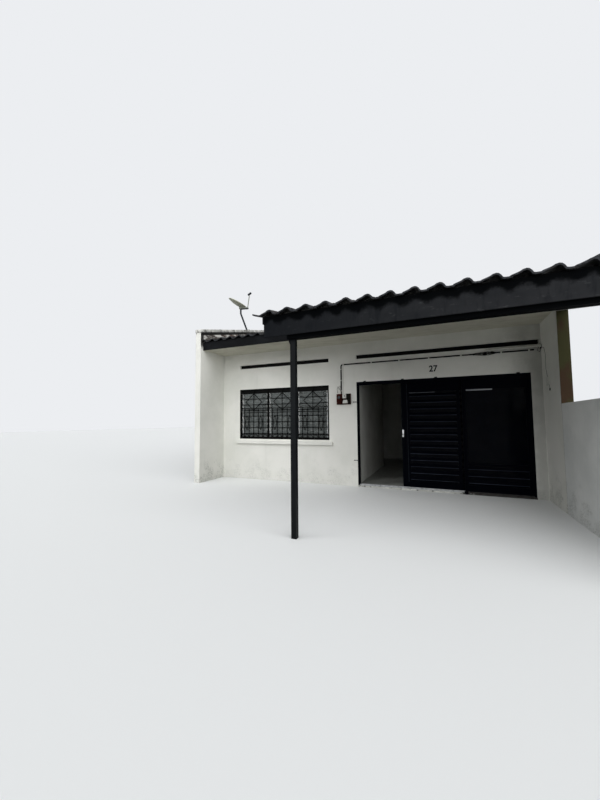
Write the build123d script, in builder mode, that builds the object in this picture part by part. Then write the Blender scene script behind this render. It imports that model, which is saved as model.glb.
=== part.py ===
# Single-storey terraced house: party walls with raked parapets, a rolled-tile roof,
# a three-leaf sliding door, a louvred window and a lean-to porch on steel posts.
# Millimetres. +X is to the right as seen from the street, +Y runs into the house, +Z is up.
# The origin lies under the middle of the floor slab, below the ridge.
import os
from math import atan2, cos, degrees, pi, radians, sin, sqrt, tan

from build123d import *

os.makedirs("parts", exist_ok=True)

# House shell
inner_width = 6564
side_wall_t = 144
house_depth = 9150
end_wall_t = 125
wing_length = 879
slab_t = 30
wall_top_z = 2985
ceiling_t = 12

# Rolled tiles, the same on the house and on the porch: each roll is steep on its right
# and drops to a flat pan, which climbs slowly to the next roll
roof_pitch = 14
tile_pitch = 235.5
tile_wave = 48
tile_t = 18
roll_left = 50
roll_left_drop = 20
roll_right = 40
roll_right_drop = 21
flank_x = 56
flank_drop = 44
pan_x = 72
pan_end_x = 108

# House roof
eave_crest_z = 3220
eave_reach = 850
fascia_reach = 800
fascia_t = 25
fascia_bottom_z = 2980
ridge_gap = 20
ridge_cap_r = 118
ridge_cap_t = 15
purlin_depth = 100
purlin_width = 50
purlin_count = 6
purlin_first = 260
purlin_last = 160

# Parapets on the side walls
parapet_rise = 240
coping_t = 72
coping_lip = 12

# Front wall openings, set out from the side walls
door_pier = 164
door_width = 3050
door_head_z = 2152
window_margin = 472
window_pier = 608
window_sill_z = 936
window_head_z = 2117
vent_height = 86
window_vent_z = 2622
door_vent_z = 2638
door_vent_margin = 29
wall_step = 308

# Louvred window
window_frame_set = 45
window_frame_depth = 60
window_stile = 45
window_mullion = 50
window_top_rail = 100
window_bottom_rail = 50
bay_count = 3
louvre_count = 7
louvre_step = 137
louvre_t = 6
louvre_width = 140
louvre_tilt = 16
grille_set = 6
grille_bar = 12
grille_gaps_per_bay = 6
grille_low_rail = 116
grille_mid_rail = 624
grille_upper_rail = 719
grille_top_rail = 1024
oval_gaps = (1, 4)
oval_rise = 424
oval_height = 250
oval_sides = 16
diamond_gaps = 3
sill_height = 75
sill_drop = 31
sill_reach = 50
sill_overhang = 70
vent_screen_set = 55
vent_screen_t = 12

# Sliding door
door_frame_set = 5
door_frame_depth = 110
door_jamb = 32
door_header = 35
threshold_reach = 20
track_plate = 10
track_rail = 12
track_rail_w = 6
leaf_t = 24
leaf_clear = 8
track_set = 13
track_step = 30
lip_drop = 25
lip_t = 6
leaf_stile = 60
lock_stile = 148
leaf_top_rail = 210
leaf_bottom_rail = 110
slat_count = 14
slat_t = 5
slat_width = 60
slat_tilt = 24
leaf_lap = 80.5
slide_open = 853
kick_top_z = 520
glazing_rail = 30
pane_t = 5
roller_r = 14
roller_w = 8
roller_gap = 0.3
roller_inset = 140

# Porch, set out from the left edge of the door
porch_left = 472
porch_eave_reach = 3350
porch_crest_z = 2680
porch_top_reach = 400
post_size = 64
post_in = 22
post_front_reach = 3236
porch_beam_z = 2315
porch_beam_w = 100
porch_beam_depth = 200
porch_beam_out = 27
porch_fascia_reach = 3300
porch_fascia_left = 330
porch_fascia_z = 2361
porch_fascia_depth = 250
porch_fascia_t = 25
batten_t = 25
batten_w = 38
batten_count = 8
rafter_w = 50
rafter_depth = 100
rafter_count = 5
ledger_depth = 160
ledger_t = 55
ledger_gap = 14
side_board_t = 20
side_board_depth = 180
porch_wall_drop = 360
porch_wall_rise = 165
low_wall_z = 1570
low_wall_reach = 3400

# Back wall
back_door_margin = 1760
back_door_set = 30
back_door_w = 900
back_door_h = 2080
back_window_margin = 1030
back_window_w = 1400

# Room walls seen through the door
room_wall_t = 110
room_wall_length = 3075
hall_depth = 4950
hall_wall_length = 4300

# Meter, conduit and dish
board_left = 428
board_w = 305
board_z = 1690
board_h = 226
board_t = 20
meter_w = 112
meter_h = 140
meter_depth = 62
meter_in = 40
meter_up = 50
fuse_box_in = 25
fuse_box_up = 70
fuse_box_w = 90
fuse_box_h = 110
fuse_box_depth = 48
conduit_d = 25
conduit_z = 2540
conduit_margin = 32
conduit_bend = 90
conduit_left = 323
dish_d = 600
dish_depth = 62
dish_t = 8
dish_shares = (0.3, 0.65, 1)
dish_sides = 40
dish_tilt = 27
dish_lean = 8
dish_in = 1135
dish_side = 286
dish_up = 820
mast_d = 48
mast_side = 205
mast_bend_up = 509
mast_up = 650
mast_bend_r = 90
foot_size = 120
foot_t = 10
foot_lift = 1
bracket_w = 44
arm_d = 26
arm_side = 26
arm_foot_up = 650
arm_lean = 59
arm_height = 350
horn_d = 56
horn_length = 110

# Derived planes and lines
half_width = inner_width / 2
half_depth = house_depth / 2
front_y = -half_depth
slope = tan(radians(roof_pitch))
back_y = half_depth
eave_y = front_y - eave_reach
ridge_crest_z = eave_crest_z + (half_depth + eave_reach) * slope
tile_depth = tile_wave + tile_t
tile_drop = tile_depth / cos(radians(roof_pitch))
wing_y = front_y - wing_length
door_right_x = half_width - door_pier
door_left_x = door_right_x - door_width
window_left_x = -half_width + window_margin
window_right_x = door_left_x - window_pier
wall_step_x = door_left_x - wall_step
door_vent_right_x = half_width - door_vent_margin
porch_eave_y = front_y - porch_eave_reach
porch_left_x = door_left_x - porch_left
porch_fascia_left_x = door_left_x - porch_fascia_left
back_door_x = half_width - back_door_margin - back_door_w
back_window_x = -half_width + back_window_margin


def crest_z(y):
    """Height of the tile crests of the house roof at y."""
    return ridge_crest_z - abs(y) * slope


def porch_z(y):
    """Height of the tile crests of the porch roof at y."""
    return porch_crest_z + (y - porch_eave_y) * slope


def facing_street(y):
    """Upright plane at y, with x along the house and y up."""
    return Plane.XZ.offset(-y)


def block(x0, x1, y0, y1, z0, z1):
    """Adds a plain block between the given limits to the part being built."""
    with Locations(((x0 + x1) / 2, (y0 + y1) / 2, (z0 + z1) / 2)):
        Box(x1 - x0, y1 - y0, z1 - z0)


def window_hole(x0, x1, z0, z1):
    """Takes a rectangular opening out of the sketch being drawn."""
    with Locations(((x0 + x1) / 2, (z0 + z1) / 2)):
        Rectangle(x1 - x0, z1 - z0, mode=Mode.SUBTRACT)


def rolled_tiles(top_y, top_z, length, x0, x1):
    """Adds one slope of rolled tiles, drawn across the slope and run down from its top edge."""
    pitch = radians(roof_pitch)
    across = Plane(origin=(0, top_y, top_z), x_dir=(1, 0, 0), z_dir=(0, -cos(pitch), -sin(pitch)))
    first = porch_left_x
    while first - roll_left > x0:
        first -= tile_pitch
    rolls = int((x1 - first) / tile_pitch) + 2
    start = first - roll_left
    end = start + rolls * tile_pitch
    with BuildSketch(across) as profile:
        with BuildLine():
            for i in range(rolls):
                x = first + i * tile_pitch
                roll_start = (x - roll_left, -roll_left_drop)
                roll_end = (x + roll_right, -roll_right_drop)
                TangentArc((x, 0), roll_start, tangent=(-1, 0))
                TangentArc((x, 0), roll_end, tangent=(1, 0))
                Polyline(roll_end, (x + flank_x, -flank_drop), (x + pan_x, -tile_wave),
                         (x + pan_end_x, -tile_wave), (x + tile_pitch - roll_left, -roll_left_drop))
                Polyline((x - roll_left, -roll_left_drop - tile_t), (x, -tile_t),
                         (x + roll_right, -roll_right_drop - tile_t), (x + pan_x, -tile_wave - tile_t),
                         (x + tile_pitch - roll_left, -roll_left_drop - tile_t))
            Line((start, -roll_left_drop), (start, -roll_left_drop - tile_t))
            Line((end, -roll_left_drop), (end, -roll_left_drop - tile_t))
        make_face()
        with Locations(((x0 + x1) / 2, 0)):
            Rectangle(x1 - x0, 4 * tile_depth, mode=Mode.INTERSECT)
    extrude(profile.sketch, amount=length)


def save(piece, name):
    """Labels a finished piece and writes it to its own file."""
    piece.part.label = name
    export_step(piece.part, f"parts/{name}.step")


# Floor
with BuildPart() as floor_slab:
    with BuildSketch(Plane.XY):
        Rectangle(inner_width, house_depth - 2 * end_wall_t)
    extrude(amount=slab_t)
save(floor_slab, "floor_slab")

# Side walls, each a gable with wings past the end walls and a raked parapet
wall_foot = -wing_y
wall_shoulder_z = crest_z(wing_y) + parapet_rise - coping_t
wall_peak_z = ridge_crest_z + parapet_rise - coping_t
for name, inner_x, front_lip in (("gable_wall_left", -half_width - side_wall_t, coping_lip),
                                 ("party_wall_right", half_width, 0)):
    with BuildPart() as side_wall:
        with BuildSketch(Plane.YZ.offset(inner_x)):
            Polygon((wing_y, 0), (wall_foot, 0), (wall_foot, wall_shoulder_z), (0, wall_peak_z),
                    (wing_y, wall_shoulder_z), align=None)
        extrude(amount=side_wall_t)
    save(side_wall, name)

    with BuildPart() as coping:
        with BuildSketch(Plane.YZ.offset(inner_x - coping_lip)):
            front_end = wing_y - front_lip
            back_end = wall_foot + coping_lip
            front_end_z = wall_shoulder_z - front_lip * slope
            back_end_z = wall_shoulder_z - coping_lip * slope
            Polygon((front_end, front_end_z), (0, wall_peak_z), (back_end, back_end_z),
                    (back_end, back_end_z + coping_t), (0, wall_peak_z + coping_t),
                    (front_end, front_end_z + coping_t), align=None)
        extrude(amount=side_wall_t + 2 * coping_lip)
    save(coping, name.replace("gable_wall", "coping").replace("party_wall", "coping"))

# Front wall, split beside and over the door
with BuildPart() as front_wall_left:
    with BuildSketch(facing_street(front_y)):
        Polygon((-half_width, 0), (door_left_x, 0), (door_left_x, door_head_z),
                (wall_step_x, door_head_z), (wall_step_x, wall_top_z), (-half_width, wall_top_z),
                align=None)
        window_hole(window_left_x, window_right_x, window_sill_z, window_head_z)
        window_hole(window_left_x, window_right_x, window_vent_z, window_vent_z + vent_height)
    extrude(amount=-end_wall_t)
save(front_wall_left, "front_wall_left")

with BuildPart() as front_wall_over_door:
    with BuildSketch(facing_street(front_y)):
        with Locations(((wall_step_x + half_width) / 2, (door_head_z + wall_top_z) / 2)):
            Rectangle(half_width - wall_step_x, wall_top_z - door_head_z)
        window_hole(door_left_x, door_vent_right_x, door_vent_z, door_vent_z + vent_height)
    extrude(amount=-end_wall_t)
save(front_wall_over_door, "front_wall_over_door")

with BuildPart() as front_wall_pier:
    block(door_right_x, half_width, front_y, front_y + end_wall_t, 0, door_head_z)
save(front_wall_pier, "front_wall_pier")

# Back wall
with BuildPart() as back_wall:
    with BuildSketch(facing_street(back_y)):
        with Locations((0, wall_top_z / 2)):
            Rectangle(inner_width, wall_top_z)
        window_hole(back_door_x, back_door_x + back_door_w, 0, back_door_h)
        window_hole(back_window_x, back_window_x + back_window_w, window_sill_z, window_head_z)
    extrude(amount=end_wall_t)
save(back_wall, "back_wall")

# Room walls: one behind the left jamb, and one across the left of the hall
room_wall_y = front_y + end_wall_t
hall_wall_y = room_wall_y + hall_depth
with BuildPart() as room_walls:
    block(door_left_x - room_wall_t, door_left_x, room_wall_y, room_wall_y + room_wall_length,
          slab_t, wall_top_z)
    block(-half_width, -half_width + hall_wall_length, hall_wall_y, hall_wall_y + room_wall_t,
          slab_t, wall_top_z)
save(room_walls, "room_walls")

# Ceiling over the rooms, and a soffit under each eave
with BuildPart() as ceiling:
    block(-half_width, half_width, front_y, half_depth, wall_top_z, wall_top_z + ceiling_t)
save(ceiling, "ceiling")

soffit_out = half_depth + fascia_reach - fascia_t
with BuildPart() as soffits:
    block(-half_width, half_width, -soffit_out, front_y, wall_top_z, wall_top_z + ceiling_t)
    block(-half_width, half_width, half_depth, soffit_out, wall_top_z, wall_top_z + ceiling_t)
save(soffits, "soffits")

fascia_y = front_y - fascia_reach
fascia_top_z = crest_z(fascia_y) - tile_drop
with BuildPart() as front_fascia:
    block(-half_width, half_width, fascia_y, fascia_y + fascia_t, fascia_bottom_z, fascia_top_z)
save(front_fascia, "front_fascia")

with BuildPart() as back_fascia:
    mirror(front_fascia.part, about=Plane.XZ)
save(back_fascia, "back_fascia")

# House roof
slope_length = (half_depth + eave_reach - ridge_gap) / cos(radians(roof_pitch))
with BuildPart() as roof_front:
    rolled_tiles(-ridge_gap, crest_z(ridge_gap), slope_length, -half_width, half_width)
save(roof_front, "roof_front")

with BuildPart() as roof_back:
    add(roof_front.part, rotation=(0, 0, 180))
save(roof_back, "roof_back")

ridge_cap_z = ridge_crest_z - (ridge_cap_r - ridge_cap_t) * slope
with BuildPart() as ridge_cap:
    with BuildSketch(Plane.YZ.offset(-half_width)):
        with Locations((0, ridge_cap_z)):
            Circle(ridge_cap_r)
            Circle(ridge_cap_r - ridge_cap_t, mode=Mode.SUBTRACT)
            Rectangle(3 * ridge_cap_r, 2 * ridge_cap_r, align=(Align.CENTER, Align.MAX),
                      mode=Mode.SUBTRACT)
    extrude(amount=inner_width)
save(ridge_cap, "ridge_cap")

# Purlins span from side wall to side wall under the tiles
purlin_step = (slope_length - purlin_first - purlin_last) / (purlin_count - 1)
purlin_sink = tile_depth + purlin_depth / 2
with BuildPart() as roof_purlins:
    with BuildSketch(Plane.YZ.offset(-half_width)):
        for i in range(purlin_count):
            along = purlin_first + i * purlin_step
            y = eave_y + along * cos(radians(roof_pitch)) + purlin_sink * sin(radians(roof_pitch))
            z = eave_crest_z + along * sin(radians(roof_pitch)) - purlin_sink * cos(radians(roof_pitch))
            with Locations((y, z)):
                Rectangle(purlin_width, purlin_depth, rotation=roof_pitch)
            with Locations((-y, z)):
                Rectangle(purlin_width, purlin_depth, rotation=-roof_pitch)
    extrude(amount=inner_width)
save(roof_purlins, "roof_purlins")

# Louvred window behind a wrought grille
window_w = window_right_x - window_left_x
window_h = window_head_z - window_sill_z
window_mid_x = (window_left_x + window_right_x) / 2
bay_w = (window_w - 2 * window_stile - (bay_count - 1) * window_mullion) / bay_count
bay_z0 = window_sill_z + window_bottom_rail
bay_z1 = window_head_z - window_top_rail
bay_starts = [window_left_x + window_stile + i * (bay_w + window_mullion) for i in range(bay_count)]
window_y = front_y + window_frame_set
with BuildPart() as window_frame:
    with BuildSketch(facing_street(window_y)):
        with Locations((window_mid_x, (window_sill_z + window_head_z) / 2)):
            Rectangle(window_w, window_h)
        for x in bay_starts:
            window_hole(x, x + bay_w, bay_z0, bay_z1)
    extrude(amount=-window_frame_depth)
save(window_frame, "window_frame")

# Louvres from the top rail down, over a narrow fixed pane
louvre_y = window_y + window_frame_depth / 2
louvre_end_z = bay_z1 - louvre_count * louvre_step
with BuildPart() as window_louvres:
    for x in bay_starts:
        with BuildSketch(Plane.YZ.offset(x)):
            for i in range(louvre_count):
                with Locations((louvre_y, bay_z1 - (i + 0.5) * louvre_step)):
                    Rectangle(louvre_t, louvre_width, rotation=-louvre_tilt)
        extrude(amount=bay_w)
        block(x, x + bay_w, louvre_y - louvre_t / 2, louvre_y + louvre_t / 2, bay_z0, louvre_end_z)
save(window_louvres, "window_louvres")

# Wrought grille: bars with tall ovals between them, a double rail, and one diamond over each bay
grille_y = front_y + grille_set
window_mid_z = (window_sill_z + window_head_z) / 2
gap_w = window_w / (bay_count * grille_gaps_per_bay)
diamond_z0 = window_sill_z + grille_upper_rail
diamond_z1 = window_sill_z + grille_top_rail
diamond_side = sqrt((diamond_gaps * gap_w / 2) ** 2 + ((diamond_z1 - diamond_z0) / 2) ** 2)
diamond_lean = degrees(atan2(diamond_z1 - diamond_z0, diamond_gaps * gap_w))


def oval_points(width, height):
    """Corners of an oval of short straight lengths, as a smith bends it from flat bar."""
    turns = [2 * pi * i / oval_sides for i in range(oval_sides)]
    return [(width / 2 * cos(turn), height / 2 * sin(turn)) for turn in turns]


with BuildPart() as window_grille:
    with BuildSketch(facing_street(grille_y)):
        with Locations((window_mid_x, window_mid_z)):
            Rectangle(window_w, window_h)
            Rectangle(window_w - 2 * grille_bar, window_h - 2 * grille_bar, mode=Mode.SUBTRACT)
        for i in range(bay_count):
            bay_x = window_left_x + i * grille_gaps_per_bay * gap_w
            for gap in oval_gaps:
                with Locations((bay_x + (gap + 0.5) * gap_w, window_sill_z + oval_rise)):
                    Polygon(*oval_points(gap_w + grille_bar / 2, oval_height))
                    Polygon(*oval_points(gap_w - 3 * grille_bar / 2, oval_height - 2 * grille_bar),
                            mode=Mode.SUBTRACT)
            bay_mid_x = bay_x + grille_gaps_per_bay * gap_w / 2
            for side in (-1, 1):
                for low, lean in ((diamond_z0, diamond_lean), (diamond_z1, -diamond_lean)):
                    with Locations((bay_mid_x + side * diamond_gaps * gap_w / 4,
                                    (low + (diamond_z0 + diamond_z1) / 2) / 2)):
                        Rectangle(diamond_side, grille_bar, rotation=side * lean)
        for rise in (grille_low_rail, grille_mid_rail, grille_upper_rail, grille_top_rail):
            with Locations((window_mid_x, window_sill_z + rise)):
                Rectangle(window_w, grille_bar)
        for i in range(1, bay_count * grille_gaps_per_bay):
            top_rise = window_h if i % grille_gaps_per_bay == 0 else grille_upper_rail
            with Locations((window_left_x + i * gap_w, window_sill_z + top_rise / 2)):
                Rectangle(grille_bar, top_rise)
        with Locations((window_mid_x, window_mid_z)):
            Rectangle(window_w, window_h, mode=Mode.INTERSECT)
    extrude(amount=-grille_bar)
save(window_grille, "window_grille")

with BuildPart() as window_sill:
    block(window_left_x - sill_overhang, window_right_x + sill_overhang, front_y - sill_reach, front_y,
          window_sill_z - sill_drop - sill_height, window_sill_z - sill_drop)
save(window_sill, "window_sill")

screen_y = front_y + vent_screen_set
with BuildPart() as vent_screens:
    block(window_left_x, window_right_x, screen_y, screen_y + vent_screen_t,
          window_vent_z, window_vent_z + vent_height)
    block(door_left_x, door_vent_right_x, screen_y, screen_y + vent_screen_t,
          door_vent_z, door_vent_z + vent_height)
save(vent_screens, "vent_screens")

# Sliding door: frame and tracks, with the right leaf on the outer track, the sliding leaf on
# the middle one and the middle leaf on the inner one
door_mid_x = (door_left_x + door_right_x) / 2
door_y = front_y + door_frame_set
header_z = door_head_z - door_header
outer_track_y = front_y + track_set
centre_track_y = outer_track_y + track_step
inner_track_y = centre_track_y + track_step
with BuildPart() as door_frame:
    with BuildSketch(facing_street(door_y)):
        with Locations((door_mid_x, slab_t)):
            Rectangle(door_width, door_head_z - slab_t, align=(Align.CENTER, Align.MIN))
            Rectangle(door_width - 2 * door_jamb, header_z - slab_t, align=(Align.CENTER, Align.MIN),
                      mode=Mode.SUBTRACT)
    extrude(amount=-door_frame_depth)
    for y in (door_y, door_y + door_frame_depth - lip_t):
        block(door_left_x + door_jamb, door_right_x - door_jamb, y, y + lip_t,
              header_z - lip_drop, header_z)
save(door_frame, "door_frame")

with BuildPart() as threshold:
    block(door_left_x, door_right_x, front_y - threshold_reach, front_y + end_wall_t, 0, slab_t)
save(threshold, "threshold")

track_z = slab_t + track_plate + track_rail
with BuildPart() as door_track:
    block(door_left_x + door_jamb, door_right_x - door_jamb, door_y, door_y + door_frame_depth,
          slab_t, slab_t + track_plate)
    for y in (outer_track_y, centre_track_y, inner_track_y):
        rail_y = y + (leaf_t - track_rail_w) / 2
        block(door_left_x + door_jamb, door_right_x - door_jamb, rail_y, rail_y + track_rail_w,
              slab_t + track_plate, track_z)
save(door_track, "door_track")

leaf_top_z = header_z - leaf_clear


def louvred_leaf(x0, bottom_z, track_y, left_stile, fill_top_z):
    """Adds one door leaf: a frame with slats from its bottom rail up to fill_top_z."""
    z0 = bottom_z + leaf_bottom_rail
    z1 = leaf_top_z - leaf_top_rail
    slat_x0 = x0 + left_stile
    slat_x1 = x0 + leaf_w - leaf_stile
    with BuildSketch(facing_street(track_y)) as rim:
        with Locations((x0 + leaf_w / 2, (bottom_z + leaf_top_z) / 2)):
            Rectangle(leaf_w, leaf_top_z - bottom_z)
        window_hole(slat_x0, slat_x1, z0, z1)
    extrude(rim.sketch, amount=-leaf_t)
    step = (z1 - z0) / slat_count
    with BuildSketch(Plane.YZ.offset(slat_x0)) as slats:
        slat_room = leaf_t - pane_t
        for i in range(slat_count):
            z = z0 + (i + 0.5) * step
            if z < fill_top_z:
                with Locations((track_y + slat_room / 2, z)):
                    Rectangle(slat_t, slat_width, rotation=-slat_tilt)
        with Locations((track_y + slat_room / 2, (z0 + z1) / 2)):
            Rectangle(slat_room, z1 - z0, mode=Mode.INTERSECT)
    extrude(slats.sketch, amount=slat_x1 - slat_x0)


def leaf_pane(x0, bottom_z, track_y, left_stile):
    """Adds the glass at the back of one door leaf."""
    block(x0 + left_stile, x0 + leaf_w - leaf_stile, track_y + leaf_t - pane_t, track_y + leaf_t,
          bottom_z + leaf_bottom_rail, leaf_top_z - leaf_top_rail)


clear_w = door_width - 2 * door_jamb
leaf_w = (clear_w + 2 * leaf_lap) / 3
slide_leaf_x = door_left_x + door_jamb + slide_open
middle_leaf_x = door_left_x + door_jamb + leaf_w - leaf_lap
right_leaf_x = door_right_x - door_jamb - leaf_w
with BuildPart() as sliding_leaf:
    louvred_leaf(slide_leaf_x, track_z + leaf_clear, centre_track_y, lock_stile, leaf_top_z)
    with BuildSketch(facing_street(centre_track_y + (leaf_t - roller_w) / 2)):
        for x in (slide_leaf_x + roller_inset, slide_leaf_x + leaf_w - roller_inset):
            with Locations((x, track_z + roller_gap + roller_r)):
                Circle(roller_r)
    extrude(amount=-roller_w)
save(sliding_leaf, "sliding_leaf")

with BuildPart() as middle_leaf:
    louvred_leaf(middle_leaf_x, track_z, inner_track_y, leaf_stile, leaf_top_z)
save(middle_leaf, "middle_leaf")

# The right leaf has slats at its foot only, under a glazing rail
with BuildPart() as right_leaf:
    louvred_leaf(right_leaf_x, track_z, outer_track_y, leaf_stile, kick_top_z)
    block(right_leaf_x + leaf_stile, right_leaf_x + leaf_w - leaf_stile, outer_track_y,
          outer_track_y + leaf_t - pane_t, kick_top_z, kick_top_z + glazing_rail)
save(right_leaf, "right_leaf")

# Dark glass behind the slats of every leaf
with BuildPart() as sliding_leaf_glass:
    leaf_pane(slide_leaf_x, track_z + leaf_clear, centre_track_y, lock_stile)
save(sliding_leaf_glass, "sliding_leaf_glass")

with BuildPart() as fixed_leaf_glass:
    leaf_pane(middle_leaf_x, track_z, inner_track_y, leaf_stile)
    leaf_pane(right_leaf_x, track_z, outer_track_y, leaf_stile)
save(fixed_leaf_glass, "fixed_leaf_glass")

# Back door and window
with BuildPart() as back_door:
    block(back_door_x, back_door_x + back_door_w, back_y - end_wall_t + back_door_set,
          back_y - back_door_set, 0, back_door_h)
save(back_door, "back_door")

with BuildPart() as back_window_frame:
    with BuildSketch(facing_street(back_y - window_frame_set)):
        with Locations((back_window_x + back_window_w / 2, (window_sill_z + window_head_z) / 2)):
            Rectangle(back_window_w, window_h)
        half_bay = (back_window_w - 2 * window_stile - window_mullion) / 2
        for i in range(2):
            x = back_window_x + window_stile + i * (half_bay + window_mullion)
            window_hole(x, x + half_bay, window_sill_z + window_bottom_rail,
                        window_head_z - window_bottom_rail)
    extrude(amount=window_frame_depth)
save(back_window_frame, "back_window_frame")

with BuildPart() as back_window_glass:
    glass_y = back_y - window_frame_set - window_frame_depth / 2
    for i in range(2):
        x = back_window_x + window_stile + i * (half_bay + window_mullion)
        block(x, x + half_bay, glass_y - louvre_t / 2, glass_y + louvre_t / 2,
              window_sill_z + window_bottom_rail, window_head_z - window_bottom_rail)
save(back_window_glass, "back_window_glass")

# Porch: low wall, posts, beam, ledger, rafters, battens, tiles and boards
post_y = front_y - post_front_reach + post_size / 2
with BuildPart() as low_wall:
    block(half_width, half_width + side_wall_t, front_y - low_wall_reach, wing_y, 0, low_wall_z)
save(low_wall, "low_wall")

with BuildPart() as porch_posts:
    for x, foot_z in ((door_left_x + post_in, 0), (half_width + side_wall_t / 2, low_wall_z)):
        block(x - post_size / 2, x + post_size / 2, post_y - post_size / 2, post_y + post_size / 2,
              foot_z, porch_beam_z)
save(porch_posts, "porch_posts")

beam_back_y = post_y + post_size / 2
beam_left_x = door_left_x + post_in - post_size / 2 - porch_beam_out
with BuildPart() as porch_beam:
    block(beam_left_x, half_width, beam_back_y - porch_beam_w, beam_back_y,
          porch_beam_z, porch_beam_z + porch_beam_depth)
save(porch_beam, "porch_beam")

with BuildPart() as porch_party_beam:
    party_y = porch_eave_y
    party_low_z = porch_z(party_y) - porch_wall_drop
    party_top_z = porch_z(party_y) + porch_wall_rise - coping_t
    party_lift = (wing_y - party_y) * slope
    with BuildSketch(Plane.YZ.offset(half_width)):
        Polygon((party_y, porch_beam_z), (beam_back_y, porch_beam_z), (wing_y, party_low_z + party_lift),
                (wing_y, party_top_z + party_lift), (party_y, party_top_z), align=None)
    extrude(amount=side_wall_t)
save(porch_party_beam, "porch_party_beam")

with BuildPart() as porch_coping:
    with BuildSketch(Plane.YZ.offset(half_width - coping_lip)):
        Polygon((party_y, party_top_z), (wing_y, party_top_z + party_lift),
                (wing_y, party_top_z + party_lift + coping_t), (party_y, party_top_z + coping_t),
                align=None)
    extrude(amount=side_wall_t + 2 * coping_lip)
save(porch_coping, "porch_coping")

ledger_front_y = fascia_y - ledger_t
ledger_top_z = fascia_top_z - ledger_gap
with BuildPart() as porch_ledger:
    block(porch_fascia_left_x + side_board_t, half_width, ledger_front_y, fascia_y,
          ledger_top_z - ledger_depth, ledger_top_z)
save(porch_ledger, "porch_ledger")

rafter_top_drop = (tile_depth + batten_t) / cos(radians(roof_pitch))
rafter_low_drop = (tile_depth + batten_t + rafter_depth) / cos(radians(roof_pitch))
rafter_y0 = front_y - porch_fascia_reach + porch_fascia_t
rafter_seat_z = porch_beam_z + porch_beam_depth
rafter_seat_y = porch_eave_y + (rafter_seat_z + rafter_low_drop - porch_crest_z) / slope
rafter_x0 = beam_left_x + rafter_w / 2
rafter_step = (half_width - rafter_w / 2 - rafter_x0) / (rafter_count - 1)
with BuildPart() as porch_rafters:
    for i in range(rafter_count):
        x = rafter_x0 + i * rafter_step
        with BuildSketch(Plane.YZ.offset(x - rafter_w / 2)):
            Polygon((rafter_y0, rafter_seat_z), (rafter_seat_y, rafter_seat_z),
                    (ledger_front_y, porch_z(ledger_front_y) - rafter_low_drop),
                    (ledger_front_y, porch_z(ledger_front_y) - rafter_top_drop),
                    (rafter_y0, porch_z(rafter_y0) - rafter_top_drop), align=None)
        extrude(amount=rafter_w)
save(porch_rafters, "porch_rafters")

batten_sink = tile_depth + batten_t / 2
batten_first = (rafter_y0 - porch_eave_y) / cos(radians(roof_pitch)) + batten_w
batten_last_y = ledger_front_y - batten_w
batten_run = (batten_last_y - porch_eave_y) / cos(radians(roof_pitch)) - batten_first
with BuildPart() as porch_battens:
    with BuildSketch(Plane.YZ.offset(porch_fascia_left_x + side_board_t)):
        for i in range(batten_count):
            along = batten_first + i * batten_run / (batten_count - 1)
            y = porch_eave_y + along * cos(radians(roof_pitch)) + batten_sink * sin(radians(roof_pitch))
            z = porch_crest_z + along * sin(radians(roof_pitch)) - batten_sink * cos(radians(roof_pitch))
            with Locations((y, z)):
                Rectangle(batten_w, batten_t, rotation=roof_pitch)
    extrude(amount=half_width - porch_fascia_left_x - side_board_t)
save(porch_battens, "porch_battens")

porch_top_y = front_y - porch_top_reach
with BuildPart() as porch_roof:
    rolled_tiles(porch_top_y, porch_z(porch_top_y), (porch_top_y - porch_eave_y) / cos(radians(roof_pitch)),
                 porch_left_x, half_width)
save(porch_roof, "porch_roof")

porch_fascia_y = front_y - porch_fascia_reach
with BuildPart() as porch_fascia:
    block(porch_fascia_left_x, half_width, porch_fascia_y, porch_fascia_y + porch_fascia_t,
          porch_fascia_z, porch_fascia_z + porch_fascia_depth)
save(porch_fascia, "porch_fascia")

with BuildPart() as porch_side_board:
    side_y0 = porch_fascia_y + porch_fascia_t
    side_drop = tile_depth / cos(radians(roof_pitch))
    with BuildSketch(Plane.YZ.offset(porch_fascia_left_x)):
        Polygon((side_y0, porch_z(side_y0) - side_drop - side_board_depth),
                (ledger_front_y, porch_z(ledger_front_y) - side_drop - side_board_depth),
                (ledger_front_y, porch_z(ledger_front_y) - side_drop),
                (side_y0, porch_z(side_y0) - side_drop), align=None)
    extrude(amount=side_board_t)
save(porch_side_board, "porch_side_board")

# Electric meter on a board, with its conduit along the wall
board_x = door_left_x - board_left
meter_y = front_y - board_t
with BuildPart() as meter_board:
    block(board_x, board_x + board_w, front_y - board_t, front_y, board_z, board_z + board_h)
save(meter_board, "meter_board")

with BuildPart() as meter:
    meter_x = board_x + meter_in
    block(meter_x, meter_x + meter_w, meter_y - meter_depth, meter_y,
          board_z + meter_up, board_z + meter_up + meter_h)
save(meter, "meter")

with BuildPart() as fuse_box:
    fuse_x = board_x + board_w - fuse_box_w - fuse_box_in
    block(fuse_x, fuse_x + fuse_box_w, meter_y - fuse_box_depth, meter_y,
          board_z + fuse_box_up, board_z + fuse_box_up + fuse_box_h)
save(fuse_box, "fuse_box")

conduit_x = door_left_x - conduit_left
conduit_end_x = half_width - conduit_margin
conduit_y = front_y - conduit_d / 2
with BuildPart() as conduit:
    with BuildLine() as conduit_route:
        FilletPolyline((conduit_x, conduit_y, board_z + board_h), (conduit_x, conduit_y, conduit_z),
                       (conduit_end_x, conduit_y, conduit_z), radius=conduit_bend)
    with BuildSketch(Plane.XY.offset(board_z + board_h)):
        with Locations((conduit_x, conduit_y)):
            Circle(conduit_d / 2)
    sweep(path=conduit_route.line)
save(conduit, "conduit")

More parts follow.
